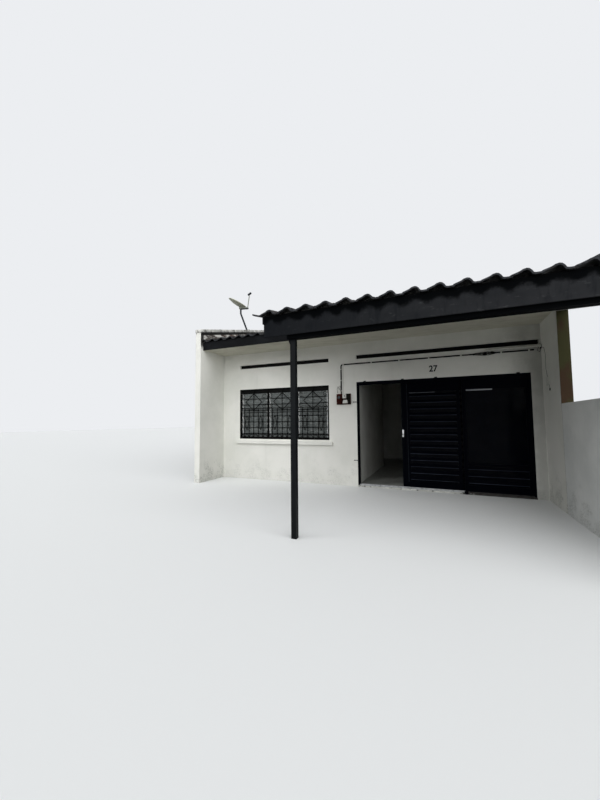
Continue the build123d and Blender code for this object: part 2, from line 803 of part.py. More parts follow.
# Satellite dish on the left parapet
dish_y = front_y + dish_in
foot_z = crest_z(dish_y) + parapet_rise
mast_foot_x = -half_width - side_wall_t / 2
mast_top_x = mast_foot_x - mast_side
mast_top_z = foot_z + mast_up
dish_x = mast_foot_x - dish_side
dish_z = foot_z + dish_up
arm_foot_x = mast_foot_x + arm_side
arm_foot_z = foot_z + arm_foot_up
coping_up = (0, -sin(radians(roof_pitch)), cos(radians(roof_pitch)))
foot_plane = Plane(origin=(mast_foot_x, dish_y, foot_z), z_dir=coping_up)
with BuildPart() as dish_mast:
    with BuildSketch(foot_plane):
        Rectangle(foot_size, foot_size)
    extrude(amount=foot_t)
    with BuildLine() as mast_route:
        FilletPolyline((mast_foot_x, dish_y, foot_z + foot_t + foot_lift),
                       (mast_top_x, dish_y, foot_z + mast_bend_up), (mast_top_x, dish_y, mast_top_z),
                       radius=mast_bend_r)
    with BuildSketch(Plane(origin=mast_route.line @ 0, z_dir=mast_route.line % 0)):
        Circle(mast_d / 2)
    sweep(path=mast_route.line)
save(dish_mast, "dish_mast")

tilt = radians(dish_tilt)
dish_axis = Vector(sin(tilt), tan(radians(dish_lean)), cos(tilt)).normalized()
dish_across = Vector(cos(tilt), 0, -sin(tilt))
dish_centre = Vector(dish_x, dish_y, dish_z)


def dish_level(height, radius):
    """Draws the outline of the dish at a height along its axis over the plane of its rim."""
    level = Plane(origin=dish_centre + dish_axis * height, x_dir=dish_across, z_dir=dish_axis)
    with BuildSketch(level) as outline:
        RegularPolygon(radius, dish_sides)
    return outline.sketch


def dish_bowl(lift, top):
    """Adds the full form of the bowl, raised by lift and run up to top over its rim."""
    levels = [(dish_depth * (share ** 2 - 1) + lift, share * dish_d / 2) for share in dish_shares]
    levels.append((top, dish_d / 2))
    for low, high in zip(levels, levels[1:]):
        loft([dish_level(*low), dish_level(*high)])


with BuildPart() as dish_form:
    dish_bowl(-dish_t, dish_depth)
with BuildPart() as dish_hollow:
    dish_bowl(0, 2 * dish_depth)
with BuildPart() as dish:
    dish_bowl(-dish_t, 0)
    add(dish_hollow.part, mode=Mode.SUBTRACT)
save(dish, "dish")

arm_top_x = arm_foot_x + arm_lean
arm_top_z = arm_foot_z + arm_height
with BuildPart() as dish_arm:
    with BuildSketch(facing_street(dish_y - bracket_w / 2)):
        Polygon((mast_top_x - mast_d, mast_top_z), (mast_top_x + mast_d, mast_top_z),
                (arm_foot_x + arm_d / 2, arm_foot_z - arm_d), (arm_foot_x + arm_d / 2, arm_foot_z),
                (arm_foot_x - 2 * arm_d, arm_foot_z + arm_d), (mast_top_x - mast_d, dish_z), align=None)
    extrude(amount=-bracket_w)
    add(dish_form.part, mode=Mode.SUBTRACT)
    with BuildLine() as arm_route:
        Line((arm_foot_x, dish_y, arm_foot_z - arm_d / 2), (arm_top_x, dish_y, arm_top_z))
    with BuildSketch(Plane(origin=arm_route.line @ 0, z_dir=arm_route.line % 0)):
        Circle(arm_d / 2)
    sweep(path=arm_route.line)
save(dish_arm, "dish_arm")

horn_axis = Vector(dish_x - arm_top_x, 0, dish_z - arm_top_z).normalized()
arm_dir = arm_route.line % 1
horn_lean = abs(arm_dir.dot(horn_axis))
horn_lift = (horn_d / 2 + arm_d / 2 * horn_lean) / sqrt(1 - horn_lean ** 2)
horn_start = arm_route.line @ 1 - horn_axis * horn_length / 2 + arm_dir * horn_lift
with BuildPart() as dish_receiver:
    with BuildSketch(Plane(origin=horn_start, z_dir=horn_axis)):
        Circle(horn_d / 2)
    extrude(amount=horn_length)
save(dish_receiver, "dish_receiver")
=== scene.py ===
"""Looks for a single-storey terraced house with a lean-to porch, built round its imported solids.

Every size is in metres, in the frame of the solids: +X to the right as seen from the street,
+Y into the house and +Z up, with the origin on the ground under the ridge.
"""

import logging
import math
import random
from contextlib import contextmanager
from dataclasses import dataclass
from enum import Enum
from functools import cached_property
from typing import Any, Iterable, Iterator, Sequence

import bmesh
import bpy
from mathutils import Matrix, Vector, noise


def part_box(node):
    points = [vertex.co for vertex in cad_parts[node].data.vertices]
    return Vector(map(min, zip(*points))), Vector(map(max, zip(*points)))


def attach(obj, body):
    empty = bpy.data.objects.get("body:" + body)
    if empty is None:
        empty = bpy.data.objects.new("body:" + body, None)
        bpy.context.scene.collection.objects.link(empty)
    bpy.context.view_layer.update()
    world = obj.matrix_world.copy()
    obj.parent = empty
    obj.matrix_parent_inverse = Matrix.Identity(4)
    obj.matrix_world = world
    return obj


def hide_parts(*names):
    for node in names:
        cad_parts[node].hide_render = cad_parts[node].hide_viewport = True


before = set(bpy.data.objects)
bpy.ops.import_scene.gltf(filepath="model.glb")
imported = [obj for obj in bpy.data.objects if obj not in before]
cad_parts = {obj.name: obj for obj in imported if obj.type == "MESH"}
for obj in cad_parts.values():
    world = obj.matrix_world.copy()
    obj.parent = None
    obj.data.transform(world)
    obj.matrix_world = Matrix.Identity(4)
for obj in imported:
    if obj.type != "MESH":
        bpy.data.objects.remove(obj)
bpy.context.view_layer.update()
NODES: dict[str, bpy.types.Object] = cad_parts
ROOF_PITCH = math.radians(14.0)
# The rolls of both roofs share one pitch, and FIRST_CREST is the x of one of their crests.
TILE_PITCH = 0.2355
FIRST_CREST = -0.404
MERGE_DISTANCE = 1e-5
ROD_SIDES = 12
# A limit that no point of the house comes near.
NOWHERE = 100.0
log = logging.getLogger("terraced_house")

Point = tuple[float, float, float]
Mesh = bmesh.types.BMesh
Verts = list[bmesh.types.BMVert]
Edges = list[bmesh.types.BMEdge]
Socket = bpy.types.NodeSocket
EVEN: Point = (1.0, 1.0, 1.0)


class Body(str, Enum):
    """The bodies that pieces ride on."""

    HOUSE = "house"
    DOOR_LEAF = "door_leaf"


# ---------------------------------------------------------------- node helpers


def linear(hex_value: str) -> tuple[float, float, float, float]:
    """Turns an sRGB hex colour into linear values.

    Args:
        hex_value: Six hex digits, such as "a0b1c2".

    Returns:
        Linear red, green, blue and an alpha of 1.
    """
    channels = [int(hex_value[i:i + 2], 16) / 255 for i in (0, 2, 4)]
    low = [c / 12.92 if c <= 0.04045 else ((c + 0.055) / 1.055) ** 2.4 for c in channels]
    return low[0], low[1], low[2], 1.0


def plug(tree: bpy.types.NodeTree, node: bpy.types.Node, inputs: dict[str | int, Any]) -> None:
    """Links or sets the inputs of a node.

    Args:
        tree: The tree that the node is in.
        node: The node.
        inputs: Values or sockets for its inputs, by name or number.
    """
    for key, value in inputs.items():
        if isinstance(value, Socket):
            tree.links.new(value, node.inputs[key])
        else:
            node.inputs[key].default_value = value


def add_node(tree: bpy.types.NodeTree, kind: str, settings: dict[str, Any] | None = None,
             inputs: dict[str | int, Any] | None = None) -> bpy.types.Node:
    """Adds one shader node with its settings and links.

    Args:
        tree: The node tree that gets the node.
        kind: Blender's name for the node type.
        settings: Properties of the node itself.
        inputs: Values or sockets for its inputs, by name or number.

    Returns:
        The new node.
    """
    node = tree.nodes.new(kind)
    for name, value in (settings or {}).items():
        setattr(node, name, value)
    plug(tree, node, inputs or {})
    return node


def combine(tree: bpy.types.NodeTree, how: str, first: Any, second: Any = 0.0) -> Socket:
    """Adds a Math node on two sockets or numbers and returns its result."""
    return add_node(tree, "ShaderNodeMath", {"operation": how}, {0: first, 1: second}).outputs[0]


def seen_directly(tree: bpy.types.NodeTree) -> Socket:
    """Adds a reading of the rays that show something to the eye.

    Args:
        tree: The node tree.

    Returns:
        1 for camera, glossy and transmission rays, otherwise 0.
    """
    path = add_node(tree, "ShaderNodeLightPath").outputs
    seen = combine(tree, "MAXIMUM", path["Is Camera Ray"], path["Is Glossy Ray"])
    return combine(tree, "MAXIMUM", seen, path["Is Transmission Ray"])


class Surface:
    """A node material in the making, with the patterns that its finish can use."""

    def __init__(self, name: str) -> None:
        """Starts the material with a Principled shader on its output.

        Args:
            name: The material's name.
        """
        self.material = bpy.data.materials.new(name)
        self.material.use_nodes = True
        self.tree = self.material.node_tree
        self.tree.nodes.clear()
        self.shader = add_node(self.tree, "ShaderNodeBsdfPrincipled")
        add_node(self.tree, "ShaderNodeOutputMaterial",
                 inputs={"Surface": self.shader.outputs[0]})

    def grain(self, size_mm: float, detail: float = 3.0, stretch: Point = EVEN,
              seed: float = 0.0) -> Socket:
        """Adds a noise pattern in Object coordinates.

        Args:
            size_mm: Width of the pattern's largest blotches, in millimetres.
            detail: Number of finer octaves.
            stretch: Factors on X, Y and Z; less than 1 draws the pattern out along that axis.
            seed: Shift of the pattern, in metres.

        Returns:
            The pattern's value, about 0.3 to 0.7.
        """
        place = add_node(self.tree, "ShaderNodeTexCoord").outputs["Object"]
        shift = add_node(self.tree, "ShaderNodeMapping", inputs={
            "Vector": place, "Location": (seed, seed * 0.7, seed * 1.3), "Scale": stretch})
        return add_node(self.tree, "ShaderNodeTexNoise", inputs={
            "Vector": shift.outputs[0], "Scale": 1000 / size_mm, "Detail": detail,
            "Roughness": 0.6}).outputs["Fac"]

    def band(self, value: Socket, start: float, end: float, low: float = 0.0,
             high: float = 1.0) -> Socket:
        """Adds a smooth step.

        Args:
            value: The socket to read.
            start: Value at which the step starts.
            end: Value at which it ends.
            low: Result before start.
            high: Result past end.

        Returns:
            The step's value.
        """
        return add_node(self.tree, "ShaderNodeMapRange", {"interpolation_type": "SMOOTHSTEP"}, {
            "Value": value, "From Min": start, "From Max": end, "To Min": low,
            "To Max": high}).outputs["Result"]

    def math(self, how: str, first: Any, second: Any = 0.0) -> Socket:
        """Adds a Math node and returns its result."""
        return combine(self.tree, how, first, second)

    def times(self, product: Any, *factors: Any) -> Socket:
        """Multiplies sockets and numbers.

        Args:
            product: The first of them.
            factors: The others.

        Returns:
            Their product.
        """
        for factor in factors:
            product = self.math("MULTIPLY", product, factor)
        return product

    def along(self, axis: str) -> Socket:
        """Adds a reading of one Object coordinate, "X", "Y" or "Z", in metres."""
        place = add_node(self.tree, "ShaderNodeTexCoord").outputs["Object"]
        return add_node(self.tree, "ShaderNodeSeparateXYZ", inputs={0: place}).outputs[axis]

    def ragged(self, value: Socket, size_mm: float, reach: float, detail: float = 4.0,
               seed: float = 0.0, start: float = 0.3) -> Socket:
        """Makes a measure uneven, so that a band on it gets a ragged edge.

        Args:
            value: The measure.
            size_mm: Width of the largest notches.
            reach: How far they reach, either way.
            detail: Number of finer octaves.
            seed: Shift of the pattern, in metres.
            start: Where in the noise the notches start; they end as far from its top.

        Returns:
            The uneven measure.
        """
        noise_value = self.grain(size_mm, detail, seed=seed)
        return self.math("ADD", value, self.band(noise_value, start, 1 - start, -reach, reach))

    def layer(self, share: Socket, under: Socket | str, over: Socket | str) -> Socket:
        """Lays one colour over another.

        Args:
            share: How much of the upper colour shows.
            under: Colour below, as a socket or hex digits.
            over: Colour above, likewise.

        Returns:
            The mixed colour.
        """
        low, high = (linear(c) if isinstance(c, str) else c for c in (under, over))
        return add_node(self.tree, "ShaderNodeMix", {"data_type": "RGBA"},
                        {0: share, 6: low, 7: high}).outputs[2]

    def mottle(self, under: Socket | str, over: Socket | str, size_mm: float, start: float,
               end: float, share: float = 1.0, detail: float = 5.0, stretch: Point = EVEN,
               seed: float = 0.0) -> Socket:
        """Lays a colour over another in blotches.

        Args:
            under: Colour below.
            over: Colour above.
            size_mm: Width of the largest blotches.
            start: Noise value at which the upper colour starts to show.
            end: Noise value at which it shows most.
            share: How much of it shows there.
            detail: Number of finer octaves.
            stretch: Factors on X, Y and Z.
            seed: Shift of the pattern, in metres.

        Returns:
            The mixed colour.
        """
        value = self.grain(size_mm, detail, stretch, seed)
        return self.layer(self.band(value, start, end, 0.0, share), under, over)

    def relief(self, height: Socket, depth_mm: float, under: Socket | None = None) -> Socket:
        """Adds a bump of a real depth.

        Args:
            height: The pattern that it follows.
            depth_mm: Its depth, in millimetres.
            under: A bump that it lies on.

        Returns:
            The bumped normal.
        """
        inputs = {"Height": height, "Distance": depth_mm / 1000, "Strength": 1.0}
        if under is not None:
            inputs["Normal"] = under
        return add_node(self.tree, "ShaderNodeBump", inputs=inputs).outputs[0]

    def finish(self, colour: Socket, normal: Socket, roughness: Socket | float,
               shine: float = 0.5, **others: float) -> None:
        """Wires what the finish has made to the shader.

        Args:
            colour: Its colour.
            normal: Its bumped normal.
            roughness: Its roughness.
            shine: Its specular level.
            others: Any other input of the shader.
        """
        inputs = {"Base Color": colour, "Normal": normal, "Roughness": roughness}
        plug(self.tree, self.shader, {**inputs, "Specular IOR Level": shine, **others})


# ---------------------------------------------------------------- finishes


@dataclass(frozen=True)
class Finish:
    """What each finish has: its material's name, and nodes of its own to paint it with."""

    name: str

    def build(self) -> bpy.types.Material:
        """Builds the node material.

        Returns:
            The material.
        """
        s = Surface(self.name)
        self.paint(s)
        return s.material

    def paint(self, s: Surface) -> None:
        """Adds the finish's own nodes to a surface."""
        raise NotImplementedError


@dataclass(frozen=True)
class WallPaint(Finish):
    """White emulsion rolled on floated cement plaster.

    The eye sees a chalky face with faint trowel waves, grey mould near the ground and
    pale runs of dirt.
    """

    base: str = "eeeee8"
    shade: str = "e2e3dc"
    mould: str = "8d918a"
    mould_top: float = 0.34
    mould_share: float = 0.25
    run_share: float = 0.08
    roughness: float = 0.85
    shine: float = 0.2

    def paint(self, s: Surface) -> None:
        """Paints faint clouds, dirt runs and a mouldy foot.

        Args:
            s: The surface.
        """
        colour = s.mottle(self.base, self.shade, 900, 0.35, 0.7, detail=4)
        colour = s.mottle(colour, self.mould, 160, 0.58, 0.8, self.run_share, 4, (1, 1, 0.08), 3.0)
        foot = s.band(s.ragged(s.along("Z"), 240, 0.3, 5, 1.0), 0.0, self.mould_top, 1.0, 0.0)
        speckle = s.band(s.grain(22, 4, seed=2.0), 0.42, 0.66, 0.1, 1.0)
        colour = s.layer(s.times(foot, speckle, self.mould_share), colour, self.mould)
        waves = s.relief(s.grain(260, 2, seed=4.0), 1.2)
        s.finish(self.overlay(s, colour), s.relief(s.grain(3, 2), 0.12, waves),
                 self.roughness, self.shine)

    def overlay(self, s: Surface, colour: Socket) -> Socket:
        """Returns the colour unchanged; walls with more on their paint add it here."""
        return colour


@dataclass(frozen=True)
class FacadePaint(WallPaint):
    """Emulsion on the street wall; the eye sees it greyer towards the party wall, where a painted
    shade stands for the shadow of the porch and the neighbour's roof.
    """

    # dust and dust_share give a painted shade towards the party wall, not dust.
    dust: str = "6f716d"
    lit_x: float = 2.6
    shaded_x: float = 3.3
    dust_share: float = 0.5

    def overlay(self, s: Surface, colour: Socket) -> Socket:
        """Lays a painted shade over the paint, darker to the right.

        Args:
            s: The surface.
            colour: The paint's colour.

        Returns:
            The colour with the painted shade on.
        """
        # A painted shade, darker to the right, for the shadow of the porch and the neighbour's
        # roof.
        ragged = s.ragged(s.along("X"), 300, 0.12, seed=15.0)
        share = s.band(ragged, self.lit_x, self.shaded_x, 0.0, self.dust_share)
        return s.layer(share, colour, self.dust)


@dataclass(frozen=True)
class GablePaint(WallPaint):
    """Emulsion on a gable wall that stands above the roof.

    The eye sees a black line under the coping, a painted shadow of its overhang with mould in it;
    pale and rusty streaks over the tiles, darkened along their foot by a painted shade from the
    tile edges; a black painted shadow beside the fascia; and dark runs that fade down the outer
    face. The party wall's end has a beige coat, painted darker as the shade of the neighbour's
    roof.
    """

    crest_z: float = 4.5726
    cap_z: float = 4.7406
    # black serves the dark runs, and the painted shadows under the coping and beside the fascia.
    black: str = "191817"
    rust: str = "2f211b"
    umber: str = "4a2f24"
    rust_y: float = -4.9
    umber_y: float = -4.1
    # The end paint is beige darkened as a painted shade.
    shaded_end_paint: str = "35341c"
    end_shade: str = "38291b"
    inner_x: float = 3.285
    fascia_y: float = 5.36
    fascia_low_z: float = 2.99
    end_y: float = -5.45
    end_x: float = 3.0
    outer_x: float = 3.4

    def overlay(self, s: Surface, colour: Socket) -> Socket:
        """Lays the patches, the painted shade and shadows, the runs and the end coat over the
        paint.

        Args:
            s: The surface.
            colour: The paint's colour.

        Returns:
            The colour with all of it on.
        """
        depth, side = s.math("ABSOLUTE", s.along("Y")), s.math("ABSOLUTE", s.along("X"))
        level = s.math("ADD", s.along("Z"), s.times(depth, math.tan(ROOF_PITCH)))
        ragged = s.ragged(level, 90, 0.05, 5, 8.0)
        inner = s.math("LESS_THAN", side, self.inner_x)
        outer = s.math("GREATER_THAN", side, self.outer_x)
        patch = s.band(s.grain(80, 5, (1.0, 0.3, 1.0), 9.0), 0.4, 0.56, 0.15, 0.94)
        # foot is a painted shade from the tile edges; worn holds the stains together with this
        # shade.
        foot = s.band(ragged, self.crest_z - 0.01, self.crest_z + 0.07, 0.9, 0.0)
        above = s.band(ragged, self.crest_z - 0.1, self.crest_z - 0.02)
        worn = s.times(s.math("MAXIMUM", patch, foot), above, inner)
        streaks = s.layer(s.band(s.along("Y"), self.rust_y, self.umber_y), self.rust, self.umber)
        colour = s.layer(worn, colour, streaks)
        fade = s.band(level, self.cap_z - 1.1, self.cap_z, 0.0, 0.5)
        runs = s.times(s.band(s.grain(70, 5, (1.0, 1.0, 0.12), 10.0), 0.44, 0.68), fade, outer)
        colour = s.layer(runs, colour, self.black)
        # The black line under the coping: a painted shadow of its overhang, with mould.
        line = s.band(level, self.cap_z - 0.072, self.cap_z - 0.06, 0.0, 0.98)
        edge = s.band(ragged, self.cap_z - 0.07, self.cap_z - 0.01, 0.0, 0.5)
        cap_shadow_and_mould = s.math("MAXIMUM", s.times(line, inner), s.times(edge, outer))
        colour = s.layer(cap_shadow_and_mould, colour, self.black)
        # Black on the inner face beside the fascia, above its bottom: a painted shadow.
        fascia_shadow = s.ragged(s.along("Z"), 50, 0.04, seed=14.0, start=0.35)
        fascia_shadow = s.band(fascia_shadow, self.fascia_low_z, self.fascia_low_z + 0.1, 0.0, 0.93)
        beside = s.math("GREATER_THAN", depth, self.fascia_y)
        colour = s.layer(s.times(fascia_shadow, inner, beside), colour, self.black)
        # The end coat is beige darkened as a painted shade from the neighbour's roof.
        at_end = s.times(s.math("LESS_THAN", s.along("Y"), self.end_y),
                         s.math("GREATER_THAN", s.along("X"), self.end_x))
        coat = s.mottle(self.shaded_end_paint, self.end_shade, 300, 0.42, 0.58, 1.0, 3, (1, 1, 0.6), 21.0)
        return s.layer(at_end, colour, coat)


@dataclass(frozen=True)
class WeatheredCement(Finish):
    """Cement render left bare and limewashed long ago.

    The eye sees grey patches, worn whitewash, black lichen and a gritty face.
    """

    base: str = "8f8e88"
    wash: str = "c9c8c0"
    lichen: str = "23211f"
    wash_share: float = 0.55
    lichen_share: float = 0.6
    grime_x: float = NOWHERE

    def paint(self, s: Surface) -> None:
        """Paints the wash and lichen, and grime on what lies right of grime_x.

        Args:
            s: The surface.
        """
        start = 0.5 - 0.12 * self.wash_share
        colour = s.mottle(self.base, self.wash, 130, start, 0.62, self.wash_share)
        patches = s.band(s.grain(90, 6, seed=5.0), 0.56 - 0.1 * self.lichen_share, 0.62)
        speckle = s.band(s.grain(9, 4, seed=6.0), 0.35, 0.6, 0.25, 1.0)
        colour = s.layer(s.times(patches, speckle), colour, self.lichen)
        ragged = s.ragged(s.along("X"), 120, 0.1)
        grime = s.band(ragged, self.grime_x - 0.06, self.grime_x + 0.06, 0.0, 0.93)
        grit = s.relief(s.grain(5, 4), 0.5, s.relief(s.grain(60, 3), 2.0))
        s.finish(s.layer(grime, colour, self.lichen), grit, 0.9, 0.2)


@dataclass(frozen=True)
class ScreedFloor(Finish):
    """Steel-trowelled cement screed: smooth, cloudy grey, with a dull shine from use."""

    base: str = "7c7e7a"
    cloud: str = "9a9c98"

    def paint(self, s: Surface) -> None:
        """Paints clouds of grey, which are duller where they are paler.

        Args:
            s: The surface.
        """
        share = s.band(s.grain(500, 6), 0.35, 0.65)
        s.finish(s.layer(share, self.base, self.cloud), s.relief(s.grain(40, 3), 0.3),
                 s.band(share, 0.0, 1.0, 0.35, 0.6))


@dataclass(frozen=True)
class BrushedPaint(Finish):
    """Oil paint brushed on boards or steel: low waves along the piece, with settled dust."""

    base: str
    dust: str
    dust_share: float = 0.35
    roughness: float = 0.45
    shine: float = 0.2
    blotch_mm: float = 140.0
    stretch: Point = (0.4, 1.0, 1.0)

    def paint(self, s: Surface) -> None:
        """Paints dust in blotches, rougher than the paint, and fine specks of it.

        Args:
            s: The surface.
        """
        dust = s.band(s.grain(self.blotch_mm, 5, self.stretch), 0.42, 0.72, 0.0, self.dust_share)
        colour = s.layer(dust, self.base, self.dust)
        colour = s.mottle(colour, self.dust, 12, 0.4, 0.7, 0.12, 3, seed=2.0)
        rough = s.math("ADD", s.times(dust, 0.5), self.roughness)
        s.finish(colour, s.relief(s.grain(30, 3, self.stretch, 7.0), 0.25), rough, self.shine)


@dataclass(frozen=True)
class EaveBoardPaint(Finish):
    """Charcoal paint on the board below the porch tiles.

    The eye sees a black, scalloped band that follows the rolls: a painted shadow of the tile edges,
    with dirt in it. Under it the face has faded to grey, more so to the right, with dark runs and
    pale scuffs.
    """

    fresh: str = "17191c"
    faded: str = "2e2f31"
    scuff: str = "484a4b"
    # The black of the painted shadow under the tile edges, with dirt.
    painted_shade: str = "020304"
    fresh_x: float = -1.2
    faded_x: float = 3.4
    top_z: float = 2.611
    shadow_height: float = 0.078
    scallop: float = 0.022
    along_board: Point = (0.4, 1.0, 1.0)

    def paint(self, s: Surface) -> None:
        """Paints the fading, the runs, the scuffs, and the painted shadow under the tiles.

        Args:
            s: The surface.
        """
        across = s.band(s.along("X"), self.fresh_x, self.faded_x)
        cloud = s.band(s.grain(220, 4, (0.6, 1.0, 1.0)), 0.3, 0.7, 0.55, 1.0)
        colour = s.layer(s.times(across, cloud), self.fresh, self.faded)
        colour = s.mottle(colour, self.fresh, 80, 0.5, 0.7, 0.6, 4, (1.0, 1.0, 0.25), 4.0)
        scuffs = s.band(s.grain(40, 5, self.along_board, 6.0), 0.58, 0.72, 0.0, 0.5)
        colour = s.layer(s.times(scuffs, across), colour, self.scuff)
        # A painted shadow under the tile edges, with dirt: scalloped, and reaching lower under the
        # troughs than under the crests.
        turn = s.times(s.math("SUBTRACT", s.along("X"), FIRST_CREST), math.tau / TILE_PITCH)
        rise = s.times(s.math("COSINE", turn), self.scallop)
        level = s.ragged(s.math("SUBTRACT", s.along("Z"), rise), 60, 0.014, seed=7.0)
        edge = self.top_z - self.shadow_height
        colour = s.layer(s.band(level, edge - 0.03, edge + 0.03, 0.0, 0.97), colour, self.painted_shade)
        s.finish(colour, s.relief(s.grain(30, 3, self.along_board, 7.0), 0.25), 0.8, 0.02)


@dataclass(frozen=True)
class ConcreteTile(Finish):
    """Moulded concrete tile with a charcoal skin.

    The skin has worn off the tail edges to grey cement, lichen and dust blotch the rest, and the
    underside is painted near black as shade.
    """

    skin: str = "161618"
    faded: str = "2b2726"
    cement: str = "3b3d41"
    # Near black for the painted shade on the undersides.
    painted_shade: str = "050608"
    moss: str = "0a0b09"
    lichen: str = "4f5042"

    def paint(self, s: Surface) -> None:
        """Paints each tile by its own tone and wear.

        Args:
            s: The surface.
        """
        tone, wear = (
            add_node(s.tree, "ShaderNodeAttribute", {"attribute_name": name}).outputs["Fac"]
            for name in ("tone", "wear"))
        blotch = s.band(s.grain(110, 6), 0.5, 0.68, 0.0, 0.75)
        colour = s.layer(blotch, s.layer(tone, self.skin, self.faded), self.moss)
        bare = s.band(s.ragged(wear, 20, 0.09, 5, 3.0), 0.93, 1.0, 0.0, 0.85)
        colour = s.layer(bare, colour, self.cement)
        colour = s.mottle(colour, self.lichen, 45, 0.6, 0.7, 0.7, seed=12.0)
        # Faces that look down are painted near black: painted shade.
        faces = add_node(s.tree, "ShaderNodeNewGeometry").outputs["True Normal"]
        up = add_node(s.tree, "ShaderNodeSeparateXYZ", inputs={0: faces}).outputs["Z"]
        colour = s.layer(s.band(up, -0.55, -0.35, 0.92, 0.0), colour, self.painted_shade)
        s.finish(colour, s.relief(s.grain(6, 4), 0.6), s.band(blotch, 0.0, 0.75, 0.62, 0.9), 0.12)


@dataclass(frozen=True)
class Glazing(Finish):
    """Window glass: clear tint or a rolled obscured face, kept see-through but dull."""

    base: str
    roughness: float
    see_through: float
    ripple_mm: float = 14.0
    ripple_depth: float = 0.4
    dirt: str = "a8aaa5"
    dirt_share: float = 0.3
    shadow: str = "3b403f"
    shadow_share: float = 0.0
    shine: float = 0.5

    def paint(self, s: Surface) -> None:
        """Paints dirt and, on obscured glass, a mottled shadow.

        Args:
            s: The surface.
        """
        colour = s.mottle(self.base, self.dirt, 180, 0.4, 0.7, self.dirt_share)
        colour = s.mottle(colour, self.shadow, 32, 0.4, 0.6, self.shadow_share, 3, seed=3.0)
        ripple = s.relief(s.grain(self.ripple_mm, 1), self.ripple_depth)
        s.finish(colour, ripple, self.roughness, self.shine, Alpha=1.0 - self.see_through)


@dataclass(frozen=True)
class Metal(Finish):
    """Bare or plated metal: drawn, with fine lines along it and dulled by weather."""

    base: str
    tarnish: str
    roughness: float = 0.4
    stretch: Point = (1.0, 1.0, 0.05)
    grime: str = "1c1815"
    grime_x: float = NOWHERE

    def paint(self, s: Surface) -> None:
        """Paints tarnish, and trodden-in dirt on what lies right of grime_x.

        Args:
            s: The surface.
        """
        share = s.band(s.grain(60, 5), 0.4, 0.68, 0.0, 0.7)
        grime = s.band(s.along("X"), self.grime_x - 0.05, self.grime_x + 0.05, 0.0, 0.94)
        colour = s.layer(grime, s.layer(share, self.base, self.tarnish), self.grime)
        rough = s.math("ADD", s.times(share, 0.3), self.roughness)
        s.finish(colour, s.relief(s.grain(3, 2, self.stretch), 0.08), rough, Metallic=0.85)


@dataclass(frozen=True)
class Plastic(Finish):
    """Moulded plastic: even colour with a faint orange-peel face and sun-bleached patches."""

    base: str
    bleached: str
    roughness: float = 0.4
    shine: float = 0.5

    def paint(self, s: Surface) -> None:
        """Paints the bleached patches.

        Args:
            s: The surface.
        """
        colour = s.mottle(self.base, self.bleached, 35, 0.4, 0.7, 0.6, 4)
        s.finish(colour, s.relief(s.grain(2, 1), 0.05), self.roughness, self.shine)


@dataclass(frozen=True)
class Timber(Finish):
    """Planed or sawn hardwood: long grain lines in two browns, darker where it is handled."""

    base: str
    dark: str
    roughness: float = 0.6
    stretch: Point = (0.05, 1.0, 1.0)

    def paint(self, s: Surface) -> None:
        """Paints the grain lines and the handled patches.

        Args:
            s: The surface.
        """
        lines = s.grain(9, 5, self.stretch)
        colour = s.layer(s.band(lines, 0.38, 0.62), self.base, self.dark)
        colour = s.mottle(colour, self.dark, 200, 0.4, 0.7, 0.4, 3)
        s.finish(colour, s.relief(lines, 0.4), self.roughness, 0.08)


